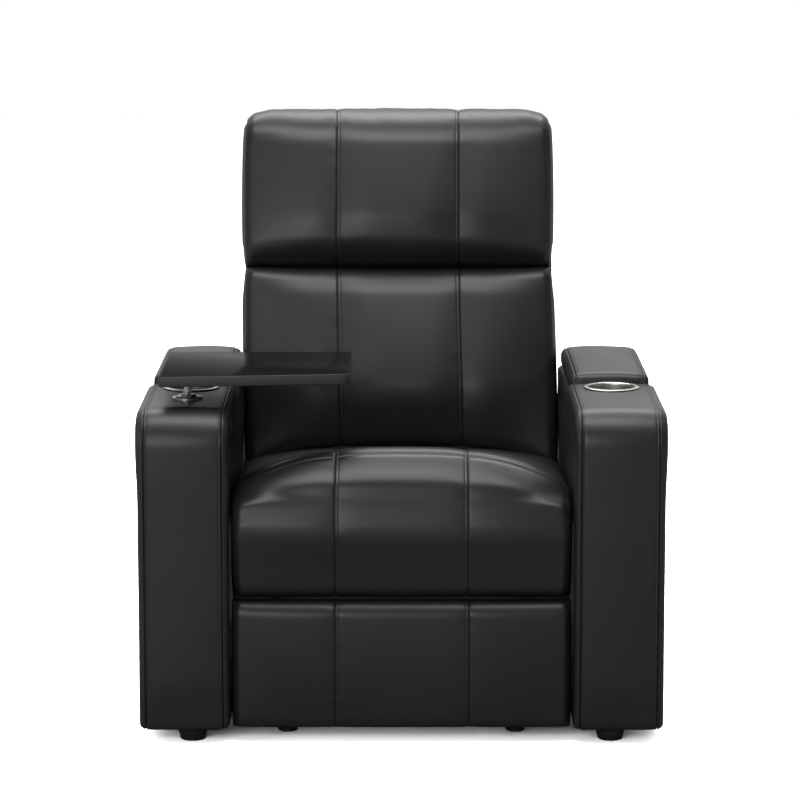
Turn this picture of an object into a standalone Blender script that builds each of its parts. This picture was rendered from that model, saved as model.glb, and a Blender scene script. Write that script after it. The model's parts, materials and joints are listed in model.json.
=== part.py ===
"""Power recliner with storage arms, cup holders and a swivel tray.

Metres. X runs to the viewer's right, the chair faces -Y, and Z is up.
The origin is on the floor, below the middle of the chair. Left and right are the viewer's.
"""
import math

import bmesh
import bpy
from mathutils import Matrix, Vector

# Fits
TOUCH = 0.0003                # gap between faces that seat on each other
PIVOT_PLAY = 0.0005           # radial play of a pin in its hole
OVERRUN = 0.002               # how far a cutter runs past the face that it cuts
WELD_DISTANCE = 0.00002

# Overall
FRONT_SETBACK = 0.475         # from the origin to the front faces of the arms
SEAT_BAY_WIDTH = 0.620        # between the arms
SIDES = {'left': -1, 'right': 1}

# Arms
ARM_WIDTH = 0.160
ARM_LENGTH = 0.725
ARM_HEIGHT = 0.575
ARM_FRONT_TOP_RADIUS = 0.050
ARM_CORNER_RADIUS = 0.014
ARM_EDGE_BEVEL = 0.010
ARM_BLOCK_LENGTH = 0.3545     # front block that holds the cup
RIM_STEP = 0.019              # how far the lid's seat lies below the arm top
WELL_WALL = 0.026
WELL_REAR_WALL = 0.034
WELL_DEPTH = 0.190

# Feet of the arms
FOOT_HEIGHT = 0.029
FOOT_RADIUS = 0.0285
FOOT_TAPER_SHARE = 0.78
FOOT_SETBACK = 0.050          # from the arm's end to the foot's axis
FOOT_INSET = 0.012            # from the arm's middle plane towards the seat

# Lids and their hinges
LID_HEIGHT = 0.040
LID_CROWN = 0.008
LID_INSET = 0.006             # from the arm's sides
LID_FRONT_GAP = 0.0015
LID_FRONT_RADIUS = 0.018
LID_REAR_RADIUS = 0.012
LID_HEEL_RADIUS = 0.003
BARREL_RADIUS = 0.005
BARREL_LENGTH = 0.100
LEAF_THICKNESS = 0.0015
LEAF_HEIGHT = 0.028

# Cup holders
CUP_SETBACK = 0.298           # from the arm's front face to the cup's axis
CUP_FLANGE_RADIUS = 0.052
CUP_BORE_RADIUS = 0.0425
CUP_DEPTH = 0.075
CUP_WALL = 0.0012
CUP_LIP_HEIGHT = 0.0032
CUP_HOLE_PLAY = 0.0008

# Tray
POST_SETBACK = 0.173
POST_RADIUS = 0.0058
POST_DEPTH = 0.110            # how far the post reaches into the arm
POST_RISE = 0.041             # from the arm top to the tray
POST_FLANGE_RADIUS = 0.030
POST_FLANGE_HEIGHT = 0.003
SOCKET_RADIUS = 0.0275
SOCKET_HEIGHT = 0.008
SOCKET_CHAMFER = 0.0015
TRAY_THICKNESS = 0.019
TRAY_LEFT = 0.043             # reach of each edge from the post
TRAY_RIGHT = 0.298
TRAY_REAR = 0.176
TRAY_FRONT_LEFT = 0.137
TRAY_FRONT_RIGHT = 0.099
TRAY_CORNER_RADIUS = 0.007
TRAY_ROUND_CORNER_RADIUS = 0.020
TRAY_EDGE_BEVEL = 0.0012

# Switch in the left arm
SWITCH_SETBACK = 0.150
SWITCH_DROP = 0.045           # from the arm top to the switch's middle
BEZEL_LENGTH = 0.066
BEZEL_HEIGHT = 0.026
BEZEL_THICKNESS = 0.002
BEZEL_BODY_DEPTH = 0.014
BEZEL_LEDGE = 0.003           # how far the bezel overlaps the arm around its body
BUTTON_LENGTH = 0.022
BUTTON_HEIGHT = 0.013
BUTTON_DEPTH = 0.008
BUTTON_PROUD = 0.002
BUTTON_TRAVEL = 0.0015
BUTTON_PLAY = 0.0004
BUTTON_SPACING = 0.028
BUTTON_BEVEL = 0.0006

# Base
RAIL_SIDE_GAP = 0.090         # from the arms to the inner faces of the rails' upright flanges
RAIL_FRONT_SETBACK = 0.090
RAIL_LENGTH = 0.615
RAIL_HEIGHT = 0.055
RAIL_FLANGE = 0.030
RAIL_THICKNESS = 0.003
GLIDE_HEIGHT = 0.030
GLIDE_RADIUS = 0.018
GLIDE_STEM_RADIUS = 0.008
GLIDE_PAD_HEIGHT = 0.011
GLIDE_END_SETBACK = 0.020
TUBE_RADIUS = 0.0125
BASE_TUBE_HEIGHT = 0.060
BASE_FRONT_TUBE_SETBACK = 0.380
BASE_REAR_TUBE_SETBACK = 0.665

# Link plates, which lie in layers beside the rails
PLATE = 0.004
LAYER_GAP = 0.0015
PIN_RADIUS = 0.005
HEAD_RADIUS = 0.0082
SHOULDER_RADIUS = 0.0065

# Seat carriage on its swing links
SWING_LENGTH = 0.115
SWING_LEAN = math.radians(25)
SWING_END_RADIUS = 0.0135
SWING_PIVOT_HEIGHT = 0.064
SWING_FRONT_SETBACK = 0.275
SWING_REAR_SETBACK = 0.575
CARRIAGE_TOP = 0.350
CARRIAGE_MARGIN = 0.018       # metal around the pivots of the side plates
CARRIAGE_FLANGE = 0.024
CARRIAGE_CORNER_RADIUS = 0.014
LIGHTENING_RADIUS = 0.026
LIGHTENING_SHARES = (0.34, 0.56, 0.78)
LIGHTENING_HEIGHT_SHARE = 0.62
CROSS_TUBE_SETBACK = 0.575
CROSS_TUBE_HEIGHT = 0.205

# Seat frame, springs and cushion
SEAT_RAIL_HEIGHT = 0.030
SEAT_RAIL_DEPTH = 0.026
SEAT_RAIL_INSET = 0.018       # from the bay's sides to the rails' ends
FRONT_RAIL_SETBACK = 0.110
REAR_RAIL_SETBACK = 0.572
RAIL_BEVEL = 0.002
SPRING_WIRE_RADIUS = 0.0019
SPRING_SPACING = 0.150
SPRING_HALF_WIDTH = 0.022
SPRING_LOOPS = 13
SPRING_SQUARENESS_SHARE = 0.6
SEAT_SIDE_GAP = 0.0045        # from the cushion's sides to the arms
SEAT_FRONT_SETBACK = 0.014
SEAT_REAR_SETBACK = 0.595
SEAT_REAR_HEIGHT = 0.438
SEAT_FRONT_HEIGHT = 0.533
ROLL_BOTTOM = 0.2635
ROLL_THICKNESS = 0.066
ROLL_TOP_RADIUS = 0.080
ROLL_BOTTOM_RADIUS = 0.034
SEAT_REAR_RADIUS = 0.026
SEAT_EDGE_RADIUS = 0.0085       # under the seat's back edge and inside the roll
SEAT_PUFF = 0.011
SEAT_CROWN = 0.072            # how far the seat's top falls towards the arms
SEAT_CROWN_BASE = 0.400       # level that the crown starts from
SEAT_CROWN_POWER = 3

# Legrest linkage
LEGREST_SETBACK = 0.175       # of the torque tube's axis
LEGREST_HEIGHT = 0.290
MAIN_LINK_LENGTH = 0.220
MAIN_LINK_REST = math.radians(-122)
MAIN_LINK_HUB_RADIUS = 0.016
MAIN_LINK_END_RADIUS = 0.014
LINK_END_RADIUS = 0.012
TIE_END_RADIUS = 0.010
REAR_LINK_SPACING = 0.062
TIE_SPACING = 0.036
TIE_ANGLE = math.radians(42)
TORQUE_TUBE_RADIUS = 0.011
CRANK_RADIUS = 0.055
CRANK_REST = math.radians(47.5)   # from straight down, towards the back
CRANK_THICKNESS = 0.008
CRANK_HUB_RADIUS = 0.017
CRANK_END_RADIUS = 0.0085
CRANK_PIN_RADIUS = 0.004

# Drive
TRACK_WIDTH = 0.020
TRACK_HEIGHT = 0.020
TRACK_CLEARANCE = 0.0155      # from the crank's lowest reach to the track's top
TRACK_FRONT_SETBACK = 0.098
NUT_WALL = 0.0085
NUT_LENGTH = 0.040
YOKE_GAP = 0.0015
YOKE_THICKNESS = 0.005
YOKE_WALL = 0.007
YOKE_SLOT_PLAY = 0.0025
GEARBOX_WIDTH = 0.064
GEARBOX_LENGTH = 0.052
GEARBOX_HEIGHT = 0.076
GEARBOX_RISE = 0.032          # above the track's top
GEARBOX_BEVEL = 0.006
MOTOR_RADIUS = 0.021
MOTOR_LENGTH = 0.105
MOTOR_DROP = 0.034            # from the track's underside to the motor's axis

# Footrest
FOOTREST_SIDE_GAP = 0.0045    # from the pad's sides to the arms
FOOTREST_BOTTOM = 0.026
FOOTREST_GAP = 0.005          # below the seat's front roll
FOOTREST_FRONT_SETBACK = 0.018
FOOTREST_PAD_THICKNESS = 0.055
FOOTREST_BOARD_THICKNESS = 0.015
FOOTREST_BOARD_INSET = 0.012
FOOTREST_RADIUS = 0.018
FOOTREST_PUFF = 0.010
FOOTREST_PIVOT_STANDOFF = 0.035
FOOTREST_PIVOT_DROP = 0.0435  # from the pad's top edge
BRACKET_FLANGE = 0.026
BRACKET_LENGTH = 0.110
BRACKET_FOOT_RADIUS = 0.004

# Back, in its own frame: along the back from its hinge, and square to it towards the rear
HINGE_SETBACK = 0.665
HINGE_HEIGHT = 0.330
BACK_LEAN = math.radians(16)
BACK_FRAME_THICKNESS = 0.035
BACK_FRAME_FRONT = 0.033      # how far its front face lies before the hinge
BACK_FRAME_BOTTOM = 0.040
BACK_FRAME_TOP = 0.7325
BACK_FRAME_SIDE_GAP = 0.012   # from the frame's sides to the arms
BACK_SHOULDER = 0.270         # height where the frame widens
BACK_FRAME_RADIUS = 0.020
BACK_BRACKET_TOP = 0.240
BACK_BRACKET_END_RADIUS = 0.017
BACK_BRACKET_CORNER_RADIUS = 0.004
BACK_BRACKET_NECK_GAP = 0.004     # below the rear cover
BACK_CUSHION_SIDE_GAP = 0.007
LUMBAR_BOTTOM = 0.100
BACK_SEAM = 0.4375            # where the two pillows meet
LUMBAR_THICKNESS = 0.112
HEAD_THICKNESS = 0.116
HEAD_PAD_RISE = 0.028         # of the head pillow above the frame's top
HEAD_OVERHANG = 0.0744        # how far the head pillow reaches behind the frame's front
HEAD_TOP_RADIUS = 0.062
HEAD_HEEL_RADIUS = 0.028
HEAD_LIP_RADIUS = 0.014
PILLOW_RADIUS = 0.046
LUMBAR_PUFF = 0.024
HEAD_PUFF = 0.020
BACK_PANEL_THICKNESS = 0.068
BACK_PANEL_BOTTOM = 0.036
BACK_PANEL_RADIUS = 0.024
BACK_PANEL_PUFF = 0.006
BACK_PANEL_SIDE_GAP = 0.010

# Sewn channels
CHANNEL_OFFSET = 0.120        # from the middle to each seam
CUSHION_END_RADIUS = 0.024
CHANNEL_SHARE = 0.55          # of the puff that a seam pulls in
SIDE_DRAW = 0.005             # how far the sides pull in at a pillow's edges

# How far a face swells, where it neither rests flat nor swells in full
SEATED_SHARE = 0.1
BACKED_SHARE = 0.3
TOP_SHARE = 0.6
FALL_GAIN = 2                 # how soon a swelling face falls away at the ends

# How finely curved surfaces are cut
ARC_STEP = math.radians(30)
SHARP_ANGLE = math.radians(42)    # edges that turn more than this stay sharp or are rounded
ROUND_STEPS = 16
PIN_STEPS = 10
CUP_STEPS = 24
HOLE_TWIST = math.radians(7)      # keeps the corners of two holes off one level
HULL_STEPS = 12
CUSHION_SPAN = 0.065
OUTER_PANEL_SHARES = (0.34, 0.68)
MIDDLE_PANEL_SHARES = (-0.62, -0.21, 0.21, 0.62)
END_ARC_ANGLES = (0, math.radians(32), math.radians(62), math.radians(90))

# Places that follow from the sizes
FRONT_Y = -FRONT_SETBACK
ARM_INNER_X = SEAT_BAY_WIDTH / 2
RAIL_HALF_WIDTH = ARM_INNER_X - RAIL_SIDE_GAP
SEAT_CUSHION_WIDTH = SEAT_BAY_WIDTH - 2 * SEAT_SIDE_GAP
FOOTREST_WIDTH = SEAT_BAY_WIDTH - 2 * FOOTREST_SIDE_GAP
BACK_FRAME_WIDTH = SEAT_BAY_WIDTH - 2 * BACK_FRAME_SIDE_GAP
BACK_CUSHION_WIDTH = SEAT_BAY_WIDTH - 2 * BACK_CUSHION_SIDE_GAP
BACK_PANEL_WIDTH = SEAT_BAY_WIDTH - 2 * BACK_PANEL_SIDE_GAP
ARM_MID_X = ARM_INNER_X + ARM_WIDTH / 2
ARM_BOTTOM_Z = FOOT_HEIGHT + TOUCH
ARM_TOP_Z = ARM_BOTTOM_Z + ARM_HEIGHT
ARM_REAR_Y = FRONT_Y + ARM_LENGTH
RIM_Z = ARM_TOP_Z - RIM_STEP
BLOCK_REAR_Y = FRONT_Y + ARM_BLOCK_LENGTH
LID_FRONT_Y = BLOCK_REAR_Y + LID_FRONT_GAP
LID_BOTTOM_Z = RIM_Z + TOUCH
BARREL_Y = ARM_REAR_Y + TOUCH + BARREL_RADIUS
CUP_Y = FRONT_Y + CUP_SETBACK
CUP_OUTER_RADIUS = CUP_BORE_RADIUS + CUP_WALL
POST_X = -ARM_MID_X
POST_Y = FRONT_Y + POST_SETBACK
TRAY_BOTTOM_Z = ARM_TOP_Z + POST_RISE
SWITCH_Y = FRONT_Y + SWITCH_SETBACK
SWITCH_Z = ARM_TOP_Z - SWITCH_DROP
RAIL_FRONT_Y = FRONT_Y + RAIL_FRONT_SETBACK
RAIL_REAR_Y = RAIL_FRONT_Y + RAIL_LENGTH
RAIL_BOTTOM_Z = GLIDE_HEIGHT + TOUCH
HEAD_HEIGHT = LAYER_GAP - 2 * TOUCH
SWING_LAYER, CARRIAGE_LAYER, LOWER_LAYER, UPPER_LAYER, BRACKET_LAYER = range(5)
PAD_TOP_Z = ROLL_BOTTOM - FOOTREST_GAP
PAD_FRONT_Y = FRONT_Y + FOOTREST_FRONT_SETBACK
BOARD_FRONT_Y = PAD_FRONT_Y + FOOTREST_PAD_THICKNESS + TOUCH
BOARD_REAR_Y = BOARD_FRONT_Y + FOOTREST_BOARD_THICKNESS
TRACK_TOP = LEGREST_HEIGHT - CRANK_RADIUS - CRANK_END_RADIUS - TRACK_CLEARANCE
SEAT_RAIL_Z = CARRIAGE_TOP + TOUCH
SPRING_Z = SEAT_RAIL_Z + SEAT_RAIL_HEIGHT + TOUCH + SPRING_WIRE_RADIUS
SEAT_DECK_Z = SPRING_Z + SPRING_WIRE_RADIUS + 2 * TOUCH
HEAD_TOP = BACK_FRAME_TOP + HEAD_PAD_RISE
HINGE_POINT = Vector((0, FRONT_Y + HINGE_SETBACK, HINGE_HEIGHT))

# A flat outline drawn in local X and Y stands in the world's Y and Z
SIDE_VIEW = Matrix(((0, 0, 1, 0), (1, 0, 0, 0), (0, 1, 0, 0), (0, 0, 0, 1)))


# Scene and collections


def clear_scene():
    """Removes whatever the file holds."""
    for item in list(bpy.data.objects):
        bpy.data.objects.remove(item, do_unlink=True)


def new_collection(name):
    """Adds a collection to the scene."""
    collection = bpy.data.collections.new(name)
    bpy.context.scene.collection.children.link(collection)
    return collection


clear_scene()
PARTS = new_collection('power_recliner')
CUTTERS = new_collection('cutters')


def finish(name, colour, roughness, metallic=0.0):
    """Makes a plain material."""
    material = bpy.data.materials.new(name)
    material.use_nodes = True
    shader = material.node_tree.nodes['Principled BSDF']
    shader.inputs['Base Color'].default_value = (*colour, 1.0)
    shader.inputs['Roughness'].default_value = roughness
    shader.inputs['Metallic'].default_value = metallic
    material.diffuse_color = (*colour, 1.0)
    return material


LEATHER = finish('black_leather', (0.012, 0.012, 0.013), 0.38)
COVER = finish('black_back_cover', (0.014, 0.014, 0.015), 0.45)
STEEL = finish('brushed_steel', (0.62, 0.60, 0.57), 0.30, 1.0)
PAINTED = finish('black_painted_steel', (0.025, 0.025, 0.027), 0.45, 0.6)
ZINC = finish('zinc_plated_steel', (0.50, 0.50, 0.50), 0.35, 1.0)
TIMBER = finish('plywood', (0.55, 0.40, 0.24), 0.60)
PLASTIC = finish('black_plastic', (0.020, 0.020, 0.021), 0.40)
TRAY_FACE = finish('black_tray_laminate', (0.015, 0.015, 0.016), 0.18)


# Shapes


def place(name, mesh, material, matrix=None, collection=None):
    """Wraps a mesh in an object with its material and place."""
    item = bpy.data.objects.new(name, mesh)
    (collection or PARTS).objects.link(item)
    if material is not None:
        mesh.materials.clear()
        mesh.materials.append(material)
    if matrix is not None:
        item.matrix_world = matrix
    if collection is CUTTERS:
        item.hide_render = True
        item.display_type = 'WIRE'
    return item


def mesh_from(build, name):
    """Runs a bmesh builder and returns its mesh."""
    work = bmesh.new()
    build(work)
    mesh = bpy.data.meshes.new(name)
    work.to_mesh(mesh)
    work.free()
    return mesh


def box(name, low, high, material=None, collection=None, bevel=0, segments=1, origin=None):
    """A cuboid between two corners, with bevelled edges where asked."""
    low, high = Vector(low), Vector(high)
    centre = (low + high) / 2
    pivot = Vector(origin) if origin is not None else centre

    def build(work):
        bmesh.ops.create_cube(work, size=1)
        bmesh.ops.scale(work, vec=high - low, verts=work.verts)
        bmesh.ops.translate(work, vec=centre - pivot, verts=work.verts)

    item = place(name, mesh_from(build, name), material, Matrix.Translation(pivot), collection)
    if bevel:
        edge = item.modifiers.new('rounded_edges', 'BEVEL')
        edge.width = bevel
        edge.segments = segments
        edge.limit_method = 'ANGLE'
    return item


def rod(name, start, end, radius, material=None, collection=None, steps=ROUND_STEPS, origin=None):
    """A round bar between two points."""
    start, end = Vector(start), Vector(end)
    pivot = Vector(origin) if origin is not None else start
    turn = (end - start).to_track_quat('Z', 'Y').to_matrix().to_4x4()
    middle = Matrix.Translation((start + end) / 2 - pivot)

    def build(work):
        bmesh.ops.create_cone(work, cap_ends=True, segments=steps, radius1=radius, radius2=radius,
                              depth=(end - start).length, matrix=middle @ turn)

    item = place(name, mesh_from(build, name), material, Matrix.Translation(pivot), collection)
    smooth(item)
    return item


def smooth(item):
    """Shades a round piece smooth, with its sharp edges kept."""
    item.data.shade_smooth()
    item.data.set_sharp_from_angle(angle=SHARP_ANGLE)


def turned(name, profile, steps, material=None, matrix=None, collection=None):
    """Turns a profile of (radius, height) points about local Z with a Screw modifier."""
    mesh = bpy.data.meshes.new(name)
    points = [(radius, 0, height) for radius, height in profile]
    mesh.from_pydata(points, [(i, i + 1) for i in range(len(points) - 1)], [])
    item = place(name, mesh, material, matrix, collection)
    screw = item.modifiers.new('turned', 'SCREW')
    screw.axis = 'Z'
    screw.steps = steps
    screw.render_steps = steps
    screw.use_merge_vertices = True
    screw.merge_threshold = WELD_DISTANCE
    screw.use_smooth_shade = True
    return item


def plate(name, loops, thickness, matrix, material=None, collection=None):
    """Extrudes a flat outline, less the holes in it, into a welded mesh."""
    curve = bpy.data.curves.new(name + '_outline', 'CURVE')
    curve.dimensions = '2D'
    curve.fill_mode = 'BOTH'
    curve.extrude = thickness / 2
    for loop in loops:
        spline = curve.splines.new('POLY')
        spline.points.add(len(loop) - 1)
        for point, (across, up) in zip(spline.points, loop):
            point.co = (across, up, 0, 1)
        spline.use_cyclic_u = True
    drawn = bpy.data.objects.new(name + '_outline', curve)
    CUTTERS.objects.link(drawn)
    seen = bpy.context.evaluated_depsgraph_get()
    mesh = bpy.data.meshes.new_from_object(drawn.evaluated_get(seen))
    bpy.data.objects.remove(drawn, do_unlink=True)
    work = bmesh.new()
    work.from_mesh(mesh)
    bmesh.ops.remove_doubles(work, verts=work.verts, dist=WELD_DISTANCE)
    bmesh.ops.recalc_face_normals(work, faces=work.faces)
    work.to_mesh(mesh)
    work.free()
    mesh.name = name
    return place(name, mesh, material, matrix, collection)


def side_plate(name, side, x_inner, thickness, origin, loops, material=None, collection=None):
    """A plate that stands in the Y-Z plane, thickness outwards from x_inner on its side."""
    middle = side * (x_inner + thickness / 2)
    matrix = Matrix.Translation((middle, origin[1], origin[2])) @ SIDE_VIEW
    return plate(name, loops, thickness, matrix, material, collection)


def join(target, *tools):
    """Unites solids with a target."""
    for tool in tools:
        union = target.modifiers.new('join_' + tool.name, 'BOOLEAN')
        union.operation = 'UNION'
        union.solver = 'EXACT'
        union.object = tool


def cut(target, *tools):
    """Takes solids away from a target."""
    for tool in tools:
        difference = target.modifiers.new('cut_' + tool.name, 'BOOLEAN')
        difference.operation = 'DIFFERENCE'
        difference.solver = 'EXACT'
        difference.object = tool


# Outlines


def circle(across, up, radius, steps=PIN_STEPS, turn=0):
    """Points of a circle, the first one turned from straight across."""
    turns = [2 * math.pi * k / steps + turn for k in range(steps)]
    return [(across + radius * math.cos(a), up + radius * math.sin(a)) for a in turns]


def around(circles):
    """The outline stretched around circles, each (across, up, radius)."""
    points = sorted({point for c in circles for point in circle(*c, steps=HULL_STEPS)})

    def half(ordered):
        chain = []
        for p in ordered:
            while len(chain) > 1 and turn_of(chain[-2], chain[-1], p) <= 0:
                chain.pop()
            chain.append(p)
        return chain[:-1]

    return half(points) + half(reversed(points))


def turn_of(a, b, c):
    """Positive where the path a, b, c turns left."""
    return (b[0] - a[0]) * (c[1] - a[1]) - (b[1] - a[1]) * (c[0] - a[0])


def rounded(corners, span=None):
    """Rounds a polygon's corners, each (across, up, radius, freedom of the edge after it).

    Gives (across, up, freedom) points, with straight runs cut into spans.
    """
    count = len(corners)
    arcs = []
    for i, (across, up, radius, freedom) in enumerate(corners):
        here = Vector((across, up))
        back = Vector(corners[i - 1][:2]) - here
        on = Vector(corners[(i + 1) % count][:2]) - here
        before = corners[i - 1][3]
        angle = math.pi - back.angle(on)
        if radius == 0 or angle == 0:
            arcs.append([(here.x, here.y, min(before, freedom))])
            continue
        reach = radius * math.tan(angle / 2)
        reach = min(reach, back.length / 2, on.length / 2)
        true_radius = reach / math.tan(angle / 2)
        start = here + back.normalized() * reach
        end = here + on.normalized() * reach
        centre = here + (back.normalized() + on.normalized()).normalized() * math.hypot(reach, true_radius)
        steps = max(1, round(angle / ARC_STEP))
        arc = []
        for k in range(steps + 1):
            share = k / steps
            ray = (start - centre).normalized().slerp((end - centre).normalized(), share) * true_radius
            arc.append((centre.x + ray.x, centre.y + ray.y, before + (freedom - before) * share))
        arcs.append(arc)
    points = []
    for i, arc in enumerate(arcs):
        points.extend(arc)
        if span is None:
            continue
        first, last = Vector(arc[-1][:2]), Vector(arcs[(i + 1) % count][0][:2])
        pieces = max(1, round((last - first).length / span))
        for k in range(1, pieces):
            spot = first.lerp(last, k / pieces)
            points.append((spot.x, spot.y, corners[i][3]))
    return points


def flat(points):
    """Drops the freedom from rounded points."""
    return [(across, up) for across, up, _ in points]


def cushion_stations(half_width, channels):
    """Places along a cushion's width: its rounded ends, its seams and its panels."""
    ends = [half_width - CUSHION_END_RADIUS * (1 - math.cos(a)) for a in reversed(END_ARC_ANGLES)]
    inner = ends[0]
    if channels:
        outer = [channels + (inner - channels) * share for share in OUTER_PANEL_SHARES]
        right = [channels, *outer, *ends]
        middle = [channels * share for share in MIDDLE_PANEL_SHARES]
    else:
        right = ends
        middle = [inner * share for share in MIDDLE_PANEL_SHARES]
    return [-x for x in reversed(right)] + middle + right


def panel_puff(x, half_width, channels, puff):
    """How far the cover stands out at x: full in each panel and pulled in at the seams."""
    inner = half_width - CUSHION_END_RADIUS
    if channels and abs(x) <= channels:
        share = 1 - (x / channels) ** 2
    elif channels:
        centre = (channels + inner) / 2
        share = max(0, 1 - ((abs(x) - centre) / (inner - centre)) ** 2)
    else:
        share = max(0, 1 - (x / inner) ** 2)
    return puff * (1 - CHANNEL_SHARE + CHANNEL_SHARE * share)


def end_inset(x, half_width):
    """How far the cover falls away near a cushion's rounded end."""
    near = max(0, abs(x) - (half_width - CUSHION_END_RADIUS))
    near = min(near, CUSHION_END_RADIUS)
    return CUSHION_END_RADIUS - math.sqrt(max(0, CUSHION_END_RADIUS ** 2 - near ** 2))


def cushion(name, corners, width, puff, channels, frame, material, draw=SIDE_DRAW, crown=0, base=0):
    """Lofts a closed cushion through side outlines that swell between the seams.

    A crown lets whatever lies above a base level fall away towards both ends.
    """
    outline = rounded(corners, CUSHION_SPAN)
    if sum(a[0] * b[1] - b[0] * a[1] for a, b in zip(outline, outline[1:] + outline[:1])) < 0:
        outline.reverse()
    count = len(outline)
    lows = min(point[1] for point in outline)
    highs = max(point[1] for point in outline)
    normals = []
    for i in range(count):
        before, after = Vector(outline[i - 1][:2]), Vector(outline[(i + 1) % count][:2])
        along = (after - before).normalized()
        normals.append(Vector((along.y, -along.x)))
    half_width = width / 2
    stations = cushion_stations(half_width, channels)

    def build(work):
        rings = []
        for x in stations:
            move = panel_puff(x, half_width, channels, puff)
            inset = end_inset(x, half_width)
            ring = []
            for (across, up, freedom), normal in zip(outline, normals):
                spot = Vector((across, up)) + normal * (move * freedom - inset * min(1, freedom * FALL_GAIN))
                level = 2 * (up - lows) / (highs - lows) - 1
                pulled = x - math.copysign(draw, x) * level ** 2 * (x / half_width) ** 4
                high = max(0, spot.y - base) / (highs - base)
                fall = crown * high * abs(x / half_width) ** SEAT_CROWN_POWER
                ring.append(work.verts.new((pulled, spot.x, spot.y - fall)))
            rings.append(ring)
        for first, second in zip(rings, rings[1:]):
            for i in range(count):
                j = (i + 1) % count
                work.faces.new((first[i], second[i], second[j], first[j]))
        work.faces.new(rings[0])
        work.faces.new(list(reversed(rings[-1])))
        bmesh.ops.recalc_face_normals(work, faces=work.faces)
        caps = [face for face in work.faces if len(face.verts) > 4]
        bmesh.ops.triangulate(work, faces=caps)

    item = place(name, mesh_from(build, name), material, frame)
    smooth(item)
    return item


# Link plates and pins


def layer_x(layer):
    """Inner face of a layer of link plates."""
    return RAIL_HALF_WIDTH + RAIL_THICKNESS + LAYER_GAP + layer * (PLATE + LAYER_GAP)


def rivet(name, side, x_start, x_end, spot, shoulder=0):
    """A headed pin from inside its plate to its head beyond the plate that turns on it.

    A pin that crosses other layers has a thicker shoulder of the given length first.
    """
    length = abs(x_end - x_start)
    outwards = side * math.copysign(1, x_end - x_start)
    matrix = Matrix.Translation((side * x_start, spot[1], spot[2])) @ Matrix.Rotation(
        outwards * math.pi / 2, 4, 'Y')
    profile = [(0, length), (HEAD_RADIUS, length), (HEAD_RADIUS, length - HEAD_HEIGHT),
               (PIN_RADIUS, length - HEAD_HEIGHT)]
    if shoulder:
        profile += [(PIN_RADIUS, shoulder), (SHOULDER_RADIUS, shoulder), (SHOULDER_RADIUS, 0), (0, 0)]
    else:
        profile += [(PIN_RADIUS, 0), (0, 0)]
    return turned(name, profile, PIN_STEPS, None, matrix, CUTTERS)


def pins_outwards(target, side, layer, spots):
    """Rivets that stand out of a plate and carry the plate in the next layer."""
    start = layer_x(layer) + PLATE / 2
    end = layer_x(layer + 1) + PLATE + TOUCH + HEAD_HEIGHT
    for number, spot in enumerate(spots):
        join(target, rivet(f'{target.name}_pin_{number}', side, start, end, spot))


def relative(spot, origin):
    """Place of a pivot in a plate's own outline."""
    return (spot[1] - origin[1], spot[2] - origin[2])


def link_plate(name, side, layer, origin, ends, holes):
    """A flat link around its pivots, each (place, radius), with bored holes."""
    circles = [(*relative(spot, origin), radius) for spot, radius in ends]
    bores = [circle(*relative(spot, origin), PIN_RADIUS + PIVOT_PLAY) for spot in holes]
    return side_plate(name, side, layer_x(layer), PLATE, origin, [around(circles), *bores], PAINTED)


def forward(length, angle):
    """A step in the side view: angle is counted from straight ahead, upwards."""
    return Vector((0, -length * math.cos(angle), length * math.sin(angle)))


# Pivots of the seat carriage
SWING_STEP = Vector((0, SWING_LENGTH * math.sin(SWING_LEAN), SWING_LENGTH * math.cos(SWING_LEAN)))
SWING_FOOT = {
    'front': Vector((0, FRONT_Y + SWING_FRONT_SETBACK, SWING_PIVOT_HEIGHT)),
    'rear': Vector((0, FRONT_Y + SWING_REAR_SETBACK, SWING_PIVOT_HEIGHT)),
}
SWING_HEAD = {end: foot + SWING_STEP for end, foot in SWING_FOOT.items()}

# Pivots of the legrest
TORQUE_AXIS = Vector((0, FRONT_Y + LEGREST_SETBACK, LEGREST_HEIGHT))
KNEE = TORQUE_AXIS + forward(MAIN_LINK_LENGTH, MAIN_LINK_REST)
FOOTREST_PIVOT = Vector((0, BOARD_REAR_Y + FOOTREST_PIVOT_STANDOFF, PAD_TOP_Z - FOOTREST_PIVOT_DROP))
CARRIER = FOOTREST_PIVOT - KNEE
CARRIER_ANGLE = math.atan2(CARRIER.z, -CARRIER.y)
REAR_STEP = forward(REAR_LINK_SPACING, CARRIER_ANGLE)
REAR_LINK_TOP = TORQUE_AXIS - REAR_STEP
REAR_LINK_END = KNEE - REAR_STEP
TIE_STEP = forward(TIE_SPACING, CARRIER_ANGLE + TIE_ANGLE)
TIE_REAR = KNEE + TIE_STEP
TIE_FRONT = FOOTREST_PIVOT + TIE_STEP
CRANK_STEP = Vector((0, math.sin(CRANK_REST), -math.cos(CRANK_REST))) * CRANK_RADIUS
CRANK_PIN = TORQUE_AXIS + CRANK_STEP


# Arms, lids, cups, tray and switch


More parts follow.
